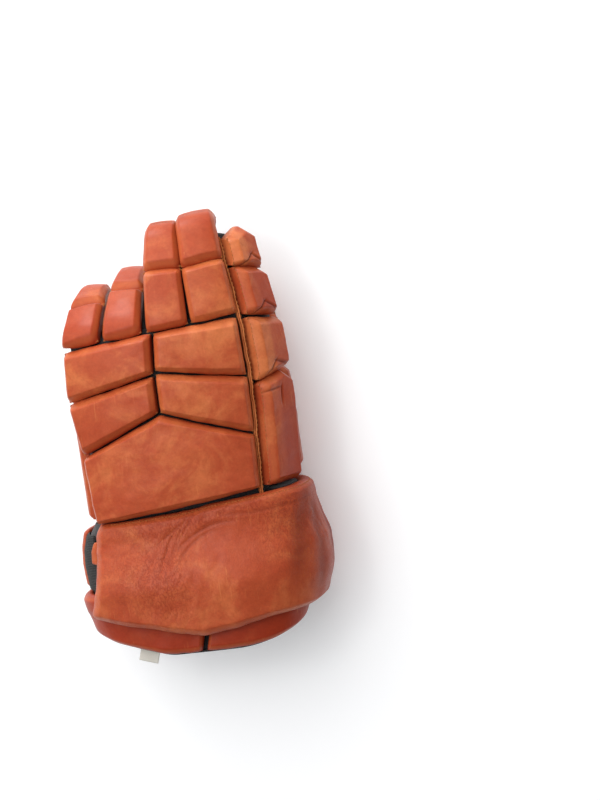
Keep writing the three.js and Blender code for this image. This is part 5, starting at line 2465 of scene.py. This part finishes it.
    def flaps(self) -> None:
        """The two lower flaps, which the slit parts, and the dark edge binding along the rim."""
        form = Form(
            self.flap, 0.8, 5.0, 0.5, bevel=0.3, crown=0.4, dent=0.5, grow=0.3, step=1.8, floor=0.0
        )
        slant = lambda angle, t: -18 * (np.minimum(t, 0.45) - 0.2) * np.exp(-(((angle - 78) / 15) ** 2))
        rows = (("cuff_flap_little", 80.5, 193), ("cuff_flap_thumb", -6, 75.5))
        for seed, (name, first, last) in enumerate(rows):
            band = Band(first, last, self.rim, self.level(-117), slant)
            # The flaps are set dark as painted shade: they tilt down, away from the light.
            keep_block(Block(name, CUFF, band, form, -1.3, seed=65 + seed), Finishes.LEATHER, 0.6)
        angle = np.linspace(-8, 195, 300)
        points, normals = CUFF.at(angle, CUFF.rim_y(angle))
        path = points + normals * 0.9 + np.array([0.0, -0.5, 0.0])
        skin = Tube.swept(path, normals, 0.9, 1.5, 2.4)
        piece = keep(skin.to_object("cuff_edge_binding", weld=True), Finishes.RIBBING)
        length = float(np.linalg.norm(np.diff(path, axis=0), axis=-1).sum()) / 1000
        cut, area = (0.0101, length), 0.004 * length
        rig.sheet(piece, flat=cut, held="folded", rests_on=["cuff_lining_cloth"], area=area)

    def palm_side(self) -> None:
        """The palm side of the cuff: two rolls, and a panel on either side."""
        roll = Form(self.pad, gap=0.8, band=6.5, wall=0.5, crown=0.8, dent=0.5, step=1.9, floor=0.0)
        panel = Form(self.flap, gap=0.8, band=5.0, wall=0.5, crown=0.3, dent=0.4, step=1.8, floor=0.0)
        thin = Form(6.0, gap=0.8, band=3.5, wall=0.5, crown=0.3, dent=0.3, step=1.5, floor=0.0)
        below = lambda angle: self.near_edge(angle) - 1.5
        below_seam, above_seam = self.level(self.palm_seam - 1), self.level(self.palm_seam + 1)
        bands = {
            "palm_cuff_lower_roll": (Band(205, 301, self.rim, below_seam), roll),
            "palm_cuff_upper_roll": (Band(205, 301, above_seam, self.level(self.top_y)), roll),
            "palm_cuff_thumb_panel": (Band(-57, -10, self.rim, below), panel),
            "palm_cuff_little_panel": (Band(177.5, 202, self.level(-115.5), self.level(-66)), thin),
        }
        rows = {
            "palm_cuff_lower_roll": ((0.02, 0.975), (0.98, 0.975)),
            "palm_cuff_upper_roll": ((0.02, 0.93), (0.98, 0.93)),
            "palm_cuff_thumb_panel": ((0.05, 0.05), (0.05, 0.95)),
        }
        seams = Seams("palm_cuff_stitches")
        for seed, (name, (band, form)) in enumerate(bands.items()):
            block = keep_block(Block(name, CUFF, band, form, -0.1, seed=81 + seed), Finishes.LEATHER, 0.7)
            if name in rows:
                seams.add(block, *rows[name], 3.0)
        seams.finish()

    def webbing(self) -> None:
        """The flat webbing beside the strap's end, with two small leather tabs on it."""
        turn = lambda angle, t: 8 * t**2 * (178 - angle) / 25
        band = Band(153, 178, self.level(-114.5), self.level(-66), turn)
        form = Form(1.6, gap=0.8, band=1.0, wall=0.5, crown=0.1, tuck=0.0, grow=0.0, dent=0.15, step=1.1)
        block = Block("side_webbing", CUFF, band, form, seed=91)
        piece = keep_strip(block, "_cloth", Finishes.RIBBING)
        cut = (block.width / 1000, block.length / 1000)
        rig.sheet(piece, flat=cut, held="stretched", rests_on=["cuff_lining_cloth"])
        tab = Form(1.6, gap=2.3, band=1.2, wall=0.5, crown=0.1, tuck=0.1, grow=0.0, dent=0.1, step=1.0)
        for name, first, last, near, far in (
            ("strap_tab_upper", 151.5, 159, -91, -71),
            ("strap_tab_lower", 151.0, 158, -126, -115),
        ):
            made = Block(name, CUFF, Band(first, last, self.level(near), self.level(far)), tab, 0.3, seed=92)
            piece = made.skin().to_object(name, weld=True)
            keep(piece, Finishes.LEATHER)
            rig.padded(piece, fill=0.9)

    def tag(self) -> None:
        """The small bare tag at the rim, slanted, a folded strip of pale cloth."""
        s, t = np.meshgrid(np.linspace(0, 1, 16), np.linspace(0, 1, 12))
        turned = math.radians(-18)
        x, y = 15 * s, -7 + 11 * t
        points = stack(
            -71 + x * math.cos(turned) - y * math.sin(turned),
            -163 + x * math.sin(turned) + y * math.cos(turned),
            92.2 - 0.5 * (1 - t) ** 2 + 0.25 * np.sin(5 * s),
        )
        skin = sheet_skin(points, UP)
        piece = keep_cloth(skin, "size_tag_cloth", 0.9, Finishes.TAG, ["size_tag"])
        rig.sheet(piece, flat=(0.015, 0.011), held="stretched", rests_on=["cuff_lining_cloth"])


@dataclass
class Studio:
    """The pale floor, the lights and the camera."""

    location: Place = (330.19, 175.69, 1559.32)
    tilt_x: float = 9.0
    tilt_y: float = 6.0
    roll: float = 8.0
    lens: float = 90.0

    def build(self) -> None:
        """Makes the floor, the lights, the sky and the camera."""
        self.floor()
        self.lamp("key", (-0.6, 0.95, 1.35), 2.6, 31.0)
        self.lamp("back", (-0.1, 1.5, 0.55), 1.4, 7.0)
        self.lamp("glint", (-0.35, 0.35, 1.3), 0.25, 1.6)
        self.lamp("low", (-0.45, 1.5, 0.2), 0.36, 7.0)
        self.sky()
        self.camera()

    def floor(self) -> None:
        """A wide plain floor."""
        mesh = bpy.data.meshes.new("floor")
        size = 6.0
        corners = [(-size, -size, 0), (size, -size, 0), (size, size, 0), (-size, size, 0)]
        mesh.from_pydata(corners, [], [(0, 1, 2, 3)])
        made = bpy.data.objects.new("floor", mesh)
        bpy.context.scene.collection.objects.link(made)
        material, graph, shader = new_material("pale_floor")
        patches = graph.noise(object_place(graph), 3.0)
        tint = graph.mix(patches, opaque((0.93, 0.93, 0.93)), opaque((0.96, 0.96, 0.96)))
        surface = {
            "Base Color": tint,
            "Roughness": 0.55,
            "Emission Color": opaque((1.0, 1.0, 1.0)),
            "Emission Strength": 0.14,
        }
        graph.feed(shader, surface)
        mesh.materials.append(material)
        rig.stage(made)

    def lamp(self, name: str, place: Place, size: float, power: float) -> None:
        """A square soft light that looks at the glove.

        Args:
            name: its name.
            place: where it is, in metres.
            size: length of its side.
            power: its power in watts.
        """
        data = bpy.data.lights.new(name, "AREA")
        data.energy, data.size = power, size
        made = bpy.data.objects.new(name, data)
        made.location = place
        aim = Vector((0.0, 0.0, 0.06)) - Vector(place)
        made.rotation_euler = aim.to_track_quat("-Z", "Y").to_euler()
        bpy.context.scene.collection.objects.link(made)

    def sky(self) -> None:
        """A white sky that is darker behind the cuff and on the thumb side: the sky's direction is
        compared with the direction of its brightest part."""
        world = bpy.data.worlds.new("studio")
        world.use_nodes = True
        graph = Graph(world.node_tree)
        background = world.node_tree.nodes["Background"]
        looking = graph.node("TexCoord").outputs["Generated"]
        towards = graph.node("VectorMath", {0: looking, 1: (-0.5, 0.75, 0.43)}, operation="DOT_PRODUCT")
        share = graph.ramp(towards.outputs["Value"], -0.9, 0.9)
        colour = graph.mix(share, opaque((0.28, 0.27, 0.27)), opaque((0.95, 0.97, 1.0)))
        world.node_tree.links.new(colour, background.inputs["Color"])
        background.inputs["Strength"].default_value = 0.75
        bpy.context.scene.world = world
        bpy.context.scene.view_settings.view_transform = "Standard"

    def camera(self) -> None:
        """The camera at the photo's angle: its axes come from two tilts and a roll."""
        psi, phi, roll = (math.radians(v) for v in (self.tilt_x, self.tilt_y, self.roll))
        flat = math.sin(psi) ** 2 + math.sin(phi) ** 2
        back = Vector((math.sin(psi), math.sin(phi), math.sqrt(1 - flat)))
        up = Vector((0, 1, 0)) - back * back.y
        up.normalize()
        right = up.cross(back)
        x_axis = right * math.cos(roll) - up * math.sin(roll)
        y_axis = right * math.sin(roll) + up * math.cos(roll)
        data = bpy.data.cameras.new("camera")
        data.lens, data.sensor_width = self.lens, 36.0
        data.clip_start, data.clip_end = 0.05, 30.0
        made = bpy.data.objects.new("camera", data)
        turned = Matrix((x_axis, y_axis, back)).transposed().to_4x4()
        made.matrix_world = Matrix.Translation(Vector(self.location) / 1000) @ turned
        bpy.context.scene.collection.objects.link(made)
        bpy.context.scene.camera = made


SUEDE_STRIP = Form(
    1.2, gap=1.1, band=1.4, wall=0.4, crown=0.2, tuck=0.1, grow=0.0, bulge=0.0, dent=0.12, step=1.1
)
# Each finger's pair of dark-to-light values is the leather's own shade with painted light and shade in it.
FINGERS = (
    Finger("index", 21.5, -6, 0.0, (9, 21), (41, 25), (34, 31, 27), (0.7, -0.1), 19.0, 2.4),
    Finger("middle", -12.3, 0.5, 0.0, (13, 30), (43, 24), (31.5, 28, 23), (0.3, 0.0), wide=1.5),
    Finger("ring", -45.8, 3, 0.0, (46, 68), (38, 21), (32, 28, 23), (-0.2, 0.0)),
    Finger("little", -79.5, 6, 0.3, (48, 68), (31, 18.5), (32, 30, 21), (-0.3, 0.2)),
)


def write_sizes(before: tuple[Vector, Vector]) -> None:
    """Writes the CAD's box and the finished glove's box as plain lists.

    Args:
        before: the box straight after the frame was loaded.
    """
    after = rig.bounds()
    boxes = {"cad": [list(v) for v in before], "visual": [list(v) for v in after]}
    with open("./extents.json", "w", encoding="utf-8") as file:
        json.dump(boxes, file)


def main() -> None:
    """Builds the glove in order and reports each piece."""
    logging.basicConfig(level=logging.INFO, format="%(name)s %(message)s")
    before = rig.bounds()
    Studio().build()
    Hand().build()
    Palm().build()
    BackOfHand().build()
    for finger in FINGERS:
        finger.build()
    SideColumns().build()
    Thumb().build()
    Cuff().build()
    write_sizes(before)


if __name__ == "__main__":
    main()
